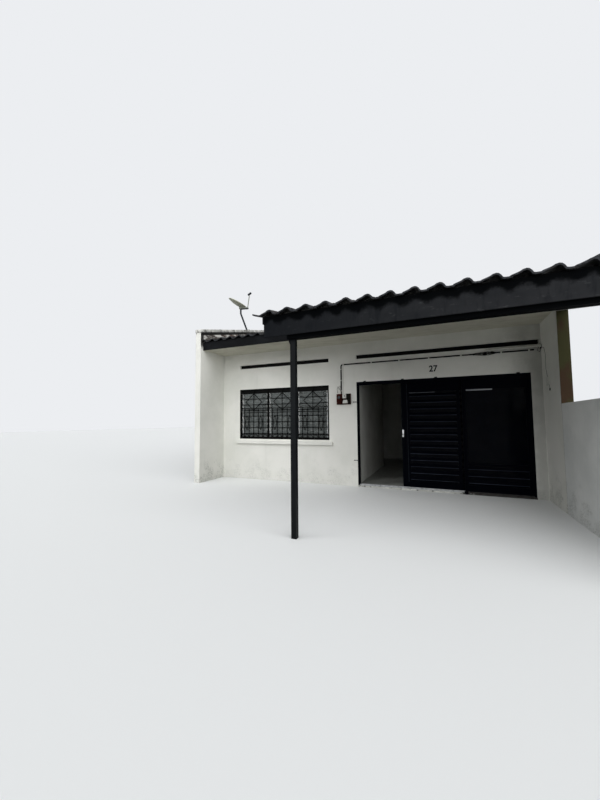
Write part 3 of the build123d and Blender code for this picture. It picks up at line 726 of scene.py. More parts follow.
class Look(Enum):
    """Every finish of the house, with the solids that wear it as they are packed.

    Each material is named for what it really is and how its face was made. A comment over each
    group says what that gives the eye.
    """

    # Rolled emulsion on floated plaster: chalky, faintly wavy, grey with dirt runs and mould;
    # painted shade darkens the street wall towards the party wall, the rooms and parts of the
    # gables.
    WALL = WallPaint("emulsion_on_plaster"), "back_wall window_sill porch_party_beam"
    FACADE = (FacadePaint("emulsion_on_street_wall"),
              "front_wall_left front_wall_over_door front_wall_pier")
    # A greyer copy of the wall paint: painted shade for the dim rooms.
    ROOM = WallPaint("emulsion_greyed_for_room_shade", "c9cac5", "b9bab4", mould_share=0.2), "room_walls"
    LOW_WALL = WallPaint("emulsion_on_low_wall", "f0f2f0", "dfe2e0", mould_share=0.5), "low_wall"
    GABLE = (GablePaint("emulsion_on_gable", mould_share=0.6, run_share=0.15),
             "gable_wall_left party_wall_right")
    # Cement, limewashed or trowelled: gritty, patched with old wash and black lichen.
    COPING = (WeatheredCement("limewashed_cement", "babbb7", "eeede7", "4a4844", lichen_share=0.45),
              "coping_left")
    # The right and porch copings are darker than the left: painted shade, with more lichen.
    SHADED_COPING = (WeatheredCement("cement_in_painted_shade_with_lichen", "505255", "787c80", lichen_share=0.8),
                   "coping_right porch_coping")
    THRESHOLD = (WeatheredCement("trowelled_cement", "b9bab5", "e4e5e0", lichen_share=0.2,
                                 grime_x=2.06), "threshold")
    # Trowelled screed: smooth and cloudy, with a dull shine from feet.
    FLOOR = ScreedFloor("cement_screed"), "floor_slab"
    # Brushed paint on cement board: matt cream with settled dust.
    CEILING = BrushedPaint("painted_cement_board", "dad8ca", "b5b2a2", 0.4, 0.7), "ceiling soffits"
    # Moulded concrete: near black, blotched with moss and lichen, pale at worn tails.
    TILE = ConcreteTile("moulded_concrete_tile"), "roof_front roof_back ridge_cap porch_roof"
    # Charcoal oil paint on boards: dusty and faded, with a painted shadow and dirt below the tiles.
    FASCIA = (BrushedPaint("brushed_charcoal_paint", "0b0c0e", "2a2c2f", 0.4, 0.6, 0.05, 260.0),
              "front_fascia back_fascia porch_side_board")
    EAVE_BOARD = EaveBoardPaint("faded_charcoal_paint"), "porch_fascia"
    # Black enamel on steel and wrought iron: low brush waves, a weak shine and brown dust.
    STEEL = (BrushedPaint("black_enamel_on_steel", "0a0c0e", "202426", 0.35, 0.5, 0.08,
                          stretch=(1.0, 1.0, 0.4)),
             "porch_posts porch_ledger porch_rafters porch_battens back_window_frame")
    # The beam's enamel is darker than the other steel: a painted shade from the fascia above it.
    BEAM = BrushedPaint("black_enamel_in_painted_shade", "020304", "0a0c0e", 0.3, 0.7, 0.02), "porch_beam"
    GRILLE = (BrushedPaint("black_enamel_on_wrought_iron", "050606", "201e1a", 0.2, 0.5, 0.05),
              "window_grille window_frame vent_screens")
    # Powder coat on aluminium: an even blue-black with almost no shine.
    DOOR = (BrushedPaint("black_powder_coat", "010207", "070a11", 0.2, 0.4, 0.015),
            "door_frame sliding_leaf middle_leaf right_leaf")
    # Hardwood, sawn or varnished: long grain lines in two browns.
    ROOF_TIMBER = Timber("sawn_hardwood", "5b4636", "33271d", 0.8), "roof_purlins"
    METER_TIMBER = Timber("varnished_board", "541a0d", "1f0c07", 0.5), "meter_board"
    # Drawn aluminium: fine lines along it, tarnish, and dirt where feet cross.
    TRACK = (Metal("mill_aluminium", "b4b6b7", "7d7f80", 0.45, (0.05, 1.0, 1.0), grime_x=2.06),
             "door_track")
    CHANNEL = Metal("louvre_gallery_aluminium", "d9dadb", "9a9c9c", 0.45)
    # Glass, rolled or tinted: mottled grey louvres with dark cut edges and painted shade where they
    # overlap, and near black panes.
    LOUVRE = (Glazing("obscured_louvre_glass", "838988", 0.28, 0.12, shadow_share=0.6, shine=0.3),
              "window_louvres back_window_glass")
    # Dark glass edge, and painted shade where the louvre blades overlap.
    EDGE_AND_OVERLAP_SHADE = Plastic("glass_edge_and_overlap_shade", "1b2321", "2c3432")
    TINTED = (Glazing("dark_tinted_glass", "010309", 0.08, 0.05, 400.0, 1.0, dirt_share=0.005,
                      shine=0.025), "sliding_leaf_glass fixed_leaf_glass")
    # Thin lines on the dark leaves: a bead of paint worn at its edge, painted highlights, dull or
    # bright, on the top beads, and each slat nosing painted paler as a highlight.
    BEAD = BrushedPaint("worn_edge_bead", "15191e", "33383e", 0.4, 0.4, 0.08)
    # Dull and bright painted highlights along the top of the leaves.
    DULL_HIGHLIGHT = BrushedPaint("bead_dull_painted_highlight", "5a5f65", "33383d", 0.6, 0.4, 0.3, 90.0)
    BRIGHT_HIGHLIGHT = BrushedPaint("bead_bright_painted_highlight", "8d9195", "5b6066", 0.5, 0.4, 0.3, 60.0)
    # Each slat nosing painted paler as a highlight.
    SLAT_HIGHLIGHT = BrushedPaint("slat_nosing_painted_highlight", "191d25", "3a3f4a", 0.55, 0.5, 0.06)
    # Brushed paint on the back door: plain brown, dusty in the mouldings.
    BACK_DOOR = (BrushedPaint("brown_door_paint", "3a3029", "5e5247", 0.4, 0.45, 0.3,
                              stretch=(1.0, 1.0, 0.3)), "back_door")
    # Moulded housings, conduit and cables: an even skin, bleached in patches.
    METER = Plastic("pale_moulded_housing", "c9cac4", "e3e3dc", 0.35), "meter"
    FUSE = Plastic("olive_bakelite", "0b0c08", "1c1d15", 0.5, 0.05), "fuse_box"
    BAKELITE = Plastic("brown_bakelite", "220b07", "4c1c11", 0.5, 0.05)
    DIAL = Plastic("dial_window", "20262a", "394247", 0.1)
    CONDUIT = Plastic("black_conduit", "030303", "0d0e0d", 0.6, 0.02), "conduit"
    WIRE = Plastic("grey_cable_sheath", "5b5d58", "85867f", 0.6)
    PALE_CONDUIT = Plastic("painted_conduit", "c9cac3", "b2b3ac", 0.6)
    GALLERY = Plastic("pale_louvre_clip", "e6e8e5", "cfd1ce", 0.5)
    CLIP = Plastic("white_cable_clip", "dedfd8", "c4c5bd", 0.5)
    DIGIT = Plastic("dark_number_plate", "1b1c1e", "3a3b3e", 0.5, 0.2)
    # Enamel on the dish and its tubes: a pale, weathered bowl on a blue-black mast.
    DISH = BrushedPaint("galvanised_enamel", "c9cbb8", "8b8a7c", 0.55, 0.5, blotch_mm=90), "dish"
    MAST = (BrushedPaint("painted_steel_tube", "151b20", "353b40", 0.4, 0.5, 0.2),
            "dish_mast dish_receiver")
    ARM = BrushedPaint("painted_arm", "8d9186", "5f6157", 0.4, 0.5, 0.3), "dish_arm"

    def __init__(self, finish: Finish, solids: str = "") -> None:
        """Keeps the finish and the names of the solids that wear it."""
        self.finish = finish
        self.solids = solids.split()

    @cached_property
    def material(self) -> bpy.types.Material:
        """The finish's material, built when it is first asked for."""
        return self.finish.build()


def dress_solids() -> None:
    """Gives every solid its finish."""
    for look in Look:
        for name in look.solids:
            NODES[name].data.materials.clear()
            NODES[name].data.materials.append(look.material)
    log.info("dressed %d solids", sum(len(look.solids) for look in Look))


# ---------------------------------------------------------------- mesh helpers


def shift(origin: Sequence[float], x: float, y: float, z: float) -> Point:
    """Returns the point at an offset from an origin."""
    return origin[0] + x, origin[1] + y, origin[2] + z


def add_block(bm: Mesh, low: Sequence[float], high: Sequence[float], edge: float = 0.002,
              turn: Matrix | None = None, segments: int = 1) -> Verts:
    """Adds a block with eased edges.

    Args:
        bm: The mesh being made.
        low: Lowest corner.
        high: Highest corner.
        edge: Width of the eased edges.
        turn: Turn about the block's middle.
        segments: Steps across each eased edge.

    Returns:
        The new vertices.
    """
    middle, size = (Vector(low) + Vector(high)) / 2, Vector(high) - Vector(low)
    turned = Matrix.Translation(middle) @ (turn or Matrix.Identity(4))
    before = set(bm.verts)
    place = turned @ Matrix.Diagonal((*size, 1.0))
    made = bmesh.ops.create_cube(bm, size=1.0, matrix=place)["verts"]
    if edge > 0:
        ease(bm, list({e for v in made for e in v.link_edges}), edge, segments)
    return [v for v in bm.verts if v not in before]


def ease(bm: Mesh, edges: Edges, width: float, segments: int) -> None:
    """Bevels edges to a width in a number of steps."""
    bmesh.ops.bevel(bm, geom=edges, offset=width, offset_type="OFFSET", segments=segments,
                    profile=0.5, affect="EDGES", material=-1)


def add_blocks(bm: Mesh, origin: Sequence[float], *rows: Sequence[float]) -> None:
    """Adds blocks with eased edges.

    Args:
        bm: The mesh being made.
        origin: Where the rows are measured from.
        rows: Each block's lowest x, y and z, its highest x, y and z, the width of its eased
            edges and, unless it is 1, the number of steps across them.
    """
    for x0, y0, z0, x1, y1, z1, edge, *steps in rows:
        add_block(bm, shift(origin, x0, y0, z0), shift(origin, x1, y1, z1), edge, None, *steps)


def add_rods(bm: Mesh, origin: Sequence[float], *rows: Sequence[float]) -> None:
    """Adds round rods.

    Args:
        bm: The mesh being made.
        origin: Where the rows are measured from.
        rows: Each rod's start x, y and z, its end x, y and z, its radius and, unless it has
            ROD_SIDES, its number of sides.
    """
    for x0, y0, z0, x1, y1, z1, radius, *sides in rows:
        start, end = Vector(shift(origin, x0, y0, z0)), Vector(shift(origin, x1, y1, z1))
        turn = (end - start).to_track_quat("Z", "Y").to_matrix().to_4x4()
        bmesh.ops.create_cone(bm, cap_ends=True, segments=sides[0] if sides else ROD_SIDES,
                              radius1=radius, radius2=radius, depth=(end - start).length,
                              matrix=Matrix.Translation((start + end) / 2) @ turn)


def add_wire(bm: Mesh, origin: Sequence[float], radius: float, *route: Sequence[float]) -> None:
    """Adds a loose wire.

    Args:
        bm: The mesh being made.
        origin: Where the route is measured from.
        radius: The wire's radius.
        route: Points on its way.
    """
    for start, end in zip(route, route[1:]):
        add_rods(bm, origin, (*start, *end, radius, 6))
        bmesh.ops.create_icosphere(bm, subdivisions=1, radius=radius,
                                   matrix=Matrix.Translation(shift(origin, *end)))


def add_bend(bm: Mesh, centre: Vector, radius: float, start: float, sweep: float, wire: float,
             steps: int = 14, sides: int = 6) -> None:
    """Adds round bar bent to an arc that faces the street.

    Args:
        bm: The mesh being made.
        centre: Middle of the arc.
        radius: Radius of its centreline.
        start: Angle at which it starts, from +X towards +Z.
        sweep: Angle that it runs through.
        wire: Radius of the bar.
        steps: Number of straight lengths.
        sides: Number of sides of the bar.
    """
    outward = Vector((math.cos(start), 0.0, math.sin(start)))
    along = Vector((-math.sin(start), 0.0, math.cos(start)))
    turn = along.to_track_quat("Z", "Y").to_matrix().to_4x4()
    before = set(bm.verts)
    section = bmesh.ops.create_circle(
        bm, cap_ends=False, radius=wire, segments=sides,
        matrix=Matrix.Translation(centre + outward * radius) @ turn)["verts"]
    lines = list({e for v in section for e in v.link_edges})
    bmesh.ops.spin(bm, geom=[*section, *lines], cent=centre, axis=(0, -1, 0), angle=sweep,
                   steps=steps, use_merge=abs(sweep) >= math.tau)
    made = {f for v in bm.verts if v not in before for f in v.link_faces}
    bmesh.ops.recalc_face_normals(bm, faces=list(made))


def add_line(bm: Mesh, points: Iterable[Sequence[float]]) -> tuple[Verts, Edges]:
    """Adds an open line through points and returns its vertices and edges."""
    verts = [bm.verts.new(point) for point in points]
    return verts, [bm.edges.new(pair) for pair in zip(verts, verts[1:])]


def cut(bm: Mesh, point: Sequence[float], normal: Sequence[float], clear: bool = True) -> Edges:
    """Cuts a mesh with a plane, clears what lies past it if asked, and returns the cut edges."""
    made = bmesh.ops.bisect_plane(bm, geom=[*bm.verts, *bm.edges, *bm.faces], plane_co=point,
                                  plane_no=normal, clear_outer=clear)["geom_cut"]
    return [part for part in made if isinstance(part, bmesh.types.BMEdge)]


def thicken(bm: Mesh, faces: list[bmesh.types.BMFace], wall: float) -> None:
    """Turns a sheet to face up and gives it a wall below.

    Args:
        bm: The mesh being made.
        faces: The faces of the sheet.
        wall: Thickness of the wall.
    """
    bmesh.ops.recalc_face_normals(bm, faces=faces)
    if sum(f.normal.z for f in faces) < 0:
        bmesh.ops.reverse_faces(bm, faces=faces)
    bmesh.ops.solidify(bm, geom=faces, thickness=wall)


@contextmanager
def piece(name: str, look: Look, slot: str, body: Body = Body.HOUSE, replaces: Iterable[str] = (),
          smooth_angle: float = 35.0) -> Iterator[Mesh]:
    """Opens a mesh and, once it is made, turns it into a named piece that rides on a body.

    Args:
        name: Name of the piece.
        look: Its finish.
        slot: Not used.
        body: The body that it rides on.
        replaces: Names of the solids that it stands for.
        smooth_angle: Edges flatter than this many degrees are shaded smooth.

    Yields:
        The empty mesh.
    """
    bm = bmesh.new()
    yield bm
    mesh = bpy.data.meshes.new(name)
    bm.to_mesh(mesh)
    bm.free()
    mesh.shade_smooth()
    mesh.set_sharp_from_angle(angle=math.radians(smooth_angle))
    mesh.materials.append(look.material)
    made = bpy.data.objects.new(name, mesh)
    bpy.context.scene.collection.objects.link(made)
    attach(made, body.value)
    if replaces:
        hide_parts(*replaces)
    log.info("%s: %d faces", name, len(mesh.polygons))


# ---------------------------------------------------------------- roofs


@dataclass
class RolledTiles:
    """Interlocking rolled tiles, laid in courses from the eave up."""

    exposure: float = 0.32
    length: float = 0.39
    thickness: float = 0.016
    lift: float = 0.015
    ridge_gap: float = 0.012
    least_course: float = 0.03
    section: tuple[tuple[float, float], ...] = (
        (-0.118, -0.041), (-0.100, -0.0355), (-0.075, -0.028), (-0.050, -0.0195), (-0.028, -0.006),
        (0.0, 0.0), (0.022, -0.005), (0.040, -0.021), (0.056, -0.044), (0.072, -0.048),
        (0.108, -0.048), (0.130, -0.045))
    left_section: tuple[tuple[float, float], ...] = (
        (-0.2355, -0.021), (-0.215, -0.031), (-0.190, -0.041), (-0.165, -0.047), (-0.1275, -0.0475))

    def build(self) -> None:
        """Lays the three slopes."""
        self.lay("tiles_front", "roof_front", "roof_front", 3.220)
        self.lay("tiles_back", "roof_back", "roof_front", 3.220, turned=True)
        self.lay("tiles_porch", "porch_roof", "porch_roof", 2.680, lip=True)

    def tile(self, with_lip: bool = False) -> bpy.types.Mesh:
        """Makes one tile, crest at x 0, tail at y 0, and its head pushed down by its own lift.

        Args:
            with_lip: Whether it has the free lip that ends a row on the left.

        Returns:
            The tile's mesh.
        """
        points = (*self.left_section, *self.section) if with_lip else self.section
        bm = bmesh.new()
        lines = add_line(bm, [(x, 0.0, z) for x, z in points])[1]
        head = bmesh.ops.extrude_edge_only(bm, edges=lines)["geom"]
        drop = (0.0, self.length, -self.lift * self.length / self.exposure)
        bmesh.ops.translate(bm, vec=drop,
                            verts=[g for g in head if isinstance(g, bmesh.types.BMVert)])
        thicken(bm, list(bm.faces), self.thickness)
        mesh = bpy.data.meshes.new("tile_form")
        bm.to_mesh(mesh)
        bm.free()
        return mesh

    def lay(self, name: str, node: str, like: str, crest_z: float, turned: bool = False,
            lip: bool = False) -> None:
        """Lays one slope of tiles in place of its plain sheet.

        Args:
            name: Name of the piece.
            node: The solid that it stands for.
            like: The solid that gives its outline, on the street side.
            crest_z: Height of the crests at the eave.
            turned: Whether the slope faces the back.
            lip: Whether each row ends in a free lip on the left.
        """
        rng = random.Random(name)
        eave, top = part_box(like)
        slope = (top.y - eave.y) / math.cos(ROOF_PITCH) - self.ridge_gap
        place = Matrix.Translation((0.0, eave.y, crest_z)) @ Matrix.Rotation(ROOF_PITCH, 4, "X")
        low, high = eave.x, top.x
        if turned:
            place = Matrix.Rotation(math.pi, 4, "Z") @ place
            low, high = -high, -low
        start = FIRST_CREST
        while start - TILE_PITCH / 2 > low:
            start -= TILE_PITCH
        if lip:
            start += TILE_PITCH
        form, end_form = self.tile(), self.tile(True)
        with piece(name, Look.TILE, "roof_tile", replaces=(node,), smooth_angle=50) as bm:
            tone = bm.verts.layers.float.new("tone")
            wear = bm.verts.layers.float.new("wear")
            for course in range(math.ceil((slope - self.least_course) / self.exposure)):
                for roll in range(int((high - start) / TILE_PITCH) + 2):
                    own = Matrix.Translation((
                        start + roll * TILE_PITCH + rng.uniform(-0.0015, 0.0015),
                        course * self.exposure + rng.uniform(0.0, 0.006),
                        rng.uniform(-0.0025, 0.0)))
                    own = own @ Matrix.Rotation(rng.uniform(-0.006, 0.006), 4, "Z")
                    first = len(bm.verts)
                    bm.from_mesh(end_form if lip and roll == 0 else form)
                    bm.verts.ensure_lookup_table()
                    fresh, shade = bm.verts[first:], rng.random() ** 2
                    for vert in fresh:
                        vert[tone] = shade
                        vert[wear] = 1.0 - vert.co.y / self.length
                    bmesh.ops.transform(bm, matrix=own, verts=fresh)
            for point, normal in (((low, 0, 0), (-1, 0, 0)), ((high, 0, 0), (1, 0, 0)),
                                  ((0, slope, 0), (0, 1, 0))):
                cut(bm, point, normal)
            bmesh.ops.transform(bm, matrix=place, verts=bm.verts)


@dataclass
class RidgeTiles:
    """Half-round ridge tiles, each with a wider collar over the next."""

    count: int = 20
    radius: float = 0.1175
    narrow: float = 0.009
    wall: float = 0.013
    overlap: float = 0.03
    collar: float = 0.05
    collar_step: float = 0.006

    def build(self) -> None:
        """Builds the ridge in place of its plain cap."""
        low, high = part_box("ridge_cap")
        step = (high.x - low.x) / self.count
        rng = random.Random(5)
        with piece("ridge_tiles", Look.TILE, "roof_tile", replaces=("ridge_cap",)) as bm:
            for i in range(self.count):
                start = low.x + i * step
                axis_z = high.z - self.radius + rng.uniform(-0.002, 0.0)
                outline = ((start, self.radius), (start + self.collar, self.radius),
                           (start + self.collar, self.radius - self.collar_step),
                           (min(start + step + self.overlap, high.x), self.radius - self.narrow))
                before = set(bm.verts)
                points, lines = add_line(bm, [(x, -r, axis_z) for x, r in outline])
                bmesh.ops.spin(bm, geom=points + lines, cent=(0, 0, axis_z), axis=(1, 0, 0),
                               angle=-math.pi, steps=14)
                made = {f for v in bm.verts if v not in before for f in v.link_faces}
                thicken(bm, list(made), self.wall)


@dataclass
class Copings:
    """Hand-floated cement copings with rounded, uneven edges."""

    spacing: float = 0.06
    edge: float = 0.008
    rough: float = 0.003
    swells: tuple[tuple[float, float], ...] = ((9.0, 1.0), (40.0, 0.4))
    seed: int = 7

    def build(self) -> None:
        """Builds each coping in place of its plain solid, with the same noise in every run."""
        noise.seed_set(self.seed)
        for node, look in (("coping_left", Look.COPING), ("coping_right", Look.SHADED_COPING),
                           ("porch_coping", Look.SHADED_COPING)):
            with piece(f"{node}_render", look, "bare_cement", replaces=(node,)) as bm:
                self.float_by_hand(bm, node)

    def float_by_hand(self, bm: Mesh, node: str) -> None:
        """Copies a plain solid with eased edges, cuts across it and makes it uneven.

        Args:
            bm: The mesh being made.
            node: The solid.
        """
        bm.from_mesh(NODES[node].data)
        bmesh.ops.remove_doubles(bm, verts=bm.verts, dist=MERGE_DISTANCE)
        bmesh.ops.dissolve_limit(bm, angle_limit=math.radians(1), verts=bm.verts, edges=bm.edges)
        ease(bm, list(bm.edges), self.edge, 2)
        low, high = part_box(node)
        for axis, across in enumerate((Vector((1.0, 0.0, 0.0)), Vector((0.0, 1.0, 0.0)))):
            count = max(1, int((high[axis] - low[axis]) / self.spacing))
            for i in range(1, count):
                at = low[axis] + (high[axis] - low[axis]) * i / count
                cut(bm, across * at, across, clear=False)
        for vert in bm.verts:
            for turns, share in self.swells:
                vert.co += noise.noise_vector(vert.co * turns) * self.rough * share


# ---------------------------------------------------------------- window


@dataclass
class LouvredWindow:
    """Glass louvres held by clips in aluminium channels."""

    bays: int = 3
    stile: float = 0.045
    mullion: float = 0.05
    bottom_rail: float = 0.05
    top_rail: float = 0.1
    blades: int = 7
    blade_step: float = 0.137
    blade_height: float = 0.126
    blade_lean: float = math.radians(18)
    blade_thickness: float = 0.006
    blade_gap: float = 0.004
    channel_t: float = 0.012
    channel_reach: float = 0.027
    clip_w: float = 0.017
    clip_h: float = 0.112
    clip_front: float = 0.025
    clip_back: float = 0.012
    edge_h: float = 0.008
    edge_skin: float = 0.0006

    def build(self) -> None:
        """Builds the blades, clips, dark edge bands and channels; the bands are the dark glass edge
        with painted shade where the blades overlap.
        """
        low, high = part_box("window_frame")
        y, top, foot = (low.y + high.y) / 2, high.z - self.top_rail, low.z + self.bottom_rail
        width = (high.x - low.x - 2 * self.stile - (self.bays - 1) * self.mullion) / self.bays
        lefts = [low.x + self.stile + i * (width + self.mullion) for i in range(self.bays)]
        rng = random.Random(11)
        blades = [(x, top - (i + 0.5) * self.blade_step,
                   Matrix.Rotation(self.blade_lean + rng.uniform(-0.05, 0.03), 4, "X"))
                  for x in lefts for i in range(self.blades)]
        gap, half_t, half_h, half_e = (self.blade_gap, self.blade_thickness / 2,
                                       self.blade_height / 2, self.edge_h / 2)
        plain = ("window_louvres",)
        with piece("louvre_blades", Look.LOUVRE, "louvre_glass", replaces=plain) as bm:
            for x, z, lean in blades:
                add_block(bm, (x + gap, y - half_t, z - half_h),
                          (x + width - gap, y + half_t, z + half_h), 0.0012, lean)
            sash_top = top - self.blades * self.blade_step
            for x in lefts:
                add_block(bm, (x + 0.001, y - half_t, foot),
                          (x + width - 0.001, y + half_t, sash_top), 0.001)
        with piece("louvre_clips", Look.GALLERY, "track_metal") as bm:
            for x, z, lean in blades:
                for side in (x + 0.001, x + width - 0.001 - self.clip_w):
                    add_block(bm, (side, y - self.clip_front, z - self.clip_h / 2),
                              (side + self.clip_w, y + self.clip_back, z + self.clip_h / 2),
                              0.002, lean)
        # A dark band at each blade's lower edge: the glass edge, widened as a painted shade where
        # the blades overlap.
        with piece("louvre_edge_shade", Look.EDGE_AND_OVERLAP_SHADE, "louvre_glass") as bm:
            for x, z, lean in blades:
                at = Vector((0.0, y, z)) + lean.to_3x3() @ Vector((0.0, 0.0, half_e - half_h))
                reach = half_t + self.edge_skin
                add_block(bm, (x + gap, at.y - reach, at.z - half_e),
                          (x + width - gap, at.y + reach, at.z + half_e), 0.0, lean)
        with piece("louvre_channels", Look.TRACK, "track_metal") as bm:
            for x in lefts:
                for side in (x, x + width - self.channel_t):
                    add_block(bm, (side, y - self.channel_reach, foot),
                              (side + self.channel_t, y + self.channel_reach, top), 0.001)


@dataclass
class WroughtGrille:
    """Grille of square bar: rails, uprights, ovals, rings, and diamonds with curls."""

    bar: float = 0.016
    edge: float = 0.001
    wire: float = 0.006
    bays: int = 3
    gaps: int = 6
    rails: tuple[float, ...] = (0.116, 0.624, 0.719)
    oval_gaps: tuple[int, ...] = (1, 4)
    oval_rise: float = 0.38
    oval_height: float = 0.34
    oval_width: float = 0.078
    oval_wire: float = 0.008
    diamond_rise: float = 0.873
    diamond_half: tuple[float, float] = (0.222, 0.2)
    curl_r: float = 0.045
    curl_start: float = 0.4
    curl_sweep: float = math.tau * 0.85
    curl_side: float = 0.29
    curl_rises: tuple[float, ...] = (0.775, 1.01)
    ring_rise: float = 0.064
    ring_r: float = 0.042

    def build(self) -> None:
        """Builds the grille in place of its plain plate."""
        low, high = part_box("window_grille")
        y, half = (low.y + high.y) / 2, self.bar / 2
        count = self.bays * self.gaps
        gap = (high.x - low.x) / count
        with piece("grille_bars", Look.GRILLE, "black_steel", replaces=("window_grille",)) as bm:
            for rise in (half, *self.rails, high.z - low.z - half):
                z = low.z + rise
                add_block(bm, (low.x, y - half, z - half), (high.x, y + half, z + half), self.edge)
            for i in range(count + 1):
                x = min(max(low.x + i * gap, low.x + half), high.x - half)
                top = high.z if i % (self.gaps // 2) == 0 else low.z + self.rails[-1]
                add_block(bm, (x - half, y - half, low.z), (x + half, y + half, top), self.edge)
            for i in range(count):
                middle = Vector((low.x + (i + 0.5) * gap, y, low.z + self.ring_rise))
                add_bend(bm, middle, self.ring_r, 0.0, math.tau, self.wire)
            for bay in range(self.bays):
                left = low.x + bay * self.gaps * gap
                for number in self.oval_gaps:
                    self.oval(bm, Vector((left + (number + 0.5) * gap, y, low.z + self.oval_rise)))
                middle = Vector((left + self.gaps * gap / 2, y, low.z + self.diamond_rise))
                self.diamond(bm, middle)
                for side in (-self.curl_side, self.curl_side):
                    for rise in self.curl_rises:
                        add_bend(bm, Vector((middle.x + side, y, low.z + rise)), self.curl_r,
                                 self.curl_start, self.curl_sweep, self.wire)

    def oval(self, bm: Mesh, centre: Vector) -> None:
        """Adds a tall pointed oval of two bent bars.

        Args:
            bm: The mesh being made.
            centre: Its middle.
        """
        wide, tall = self.oval_width / 2, self.oval_height / 2
        radius = (wide ** 2 + tall ** 2) / (2 * wide)
        half_sweep = math.asin(tall / radius)
        for side, middle in ((wide - radius, 0.0), (radius - wide, math.pi)):
            add_bend(bm, centre + Vector((side, 0.0, 0.0)), radius, middle - half_sweep,
                     2 * half_sweep, self.oval_wire, 8)

    def diamond(self, bm: Mesh, centre: Vector) -> None:
        """Adds the four bars of a diamond.

        Args:
            bm: The mesh being made.
            centre: Its middle.
        """
        wide, tall = self.diamond_half
        reach = Vector((math.hypot(wide, tall) / 2, self.bar / 2, self.bar / 2))
        for across, up in ((-1, -1), (-1, 1), (1, -1), (1, 1)):
            middle = centre + Vector((across * wide / 2, 0.0, up * tall / 2))
            turn = Matrix.Rotation(across * up * math.atan2(tall, wide), 4, "Y")
            add_block(bm, middle - reach, middle + reach, self.edge, turn)


# ---------------------------------------------------------------- doors and back window


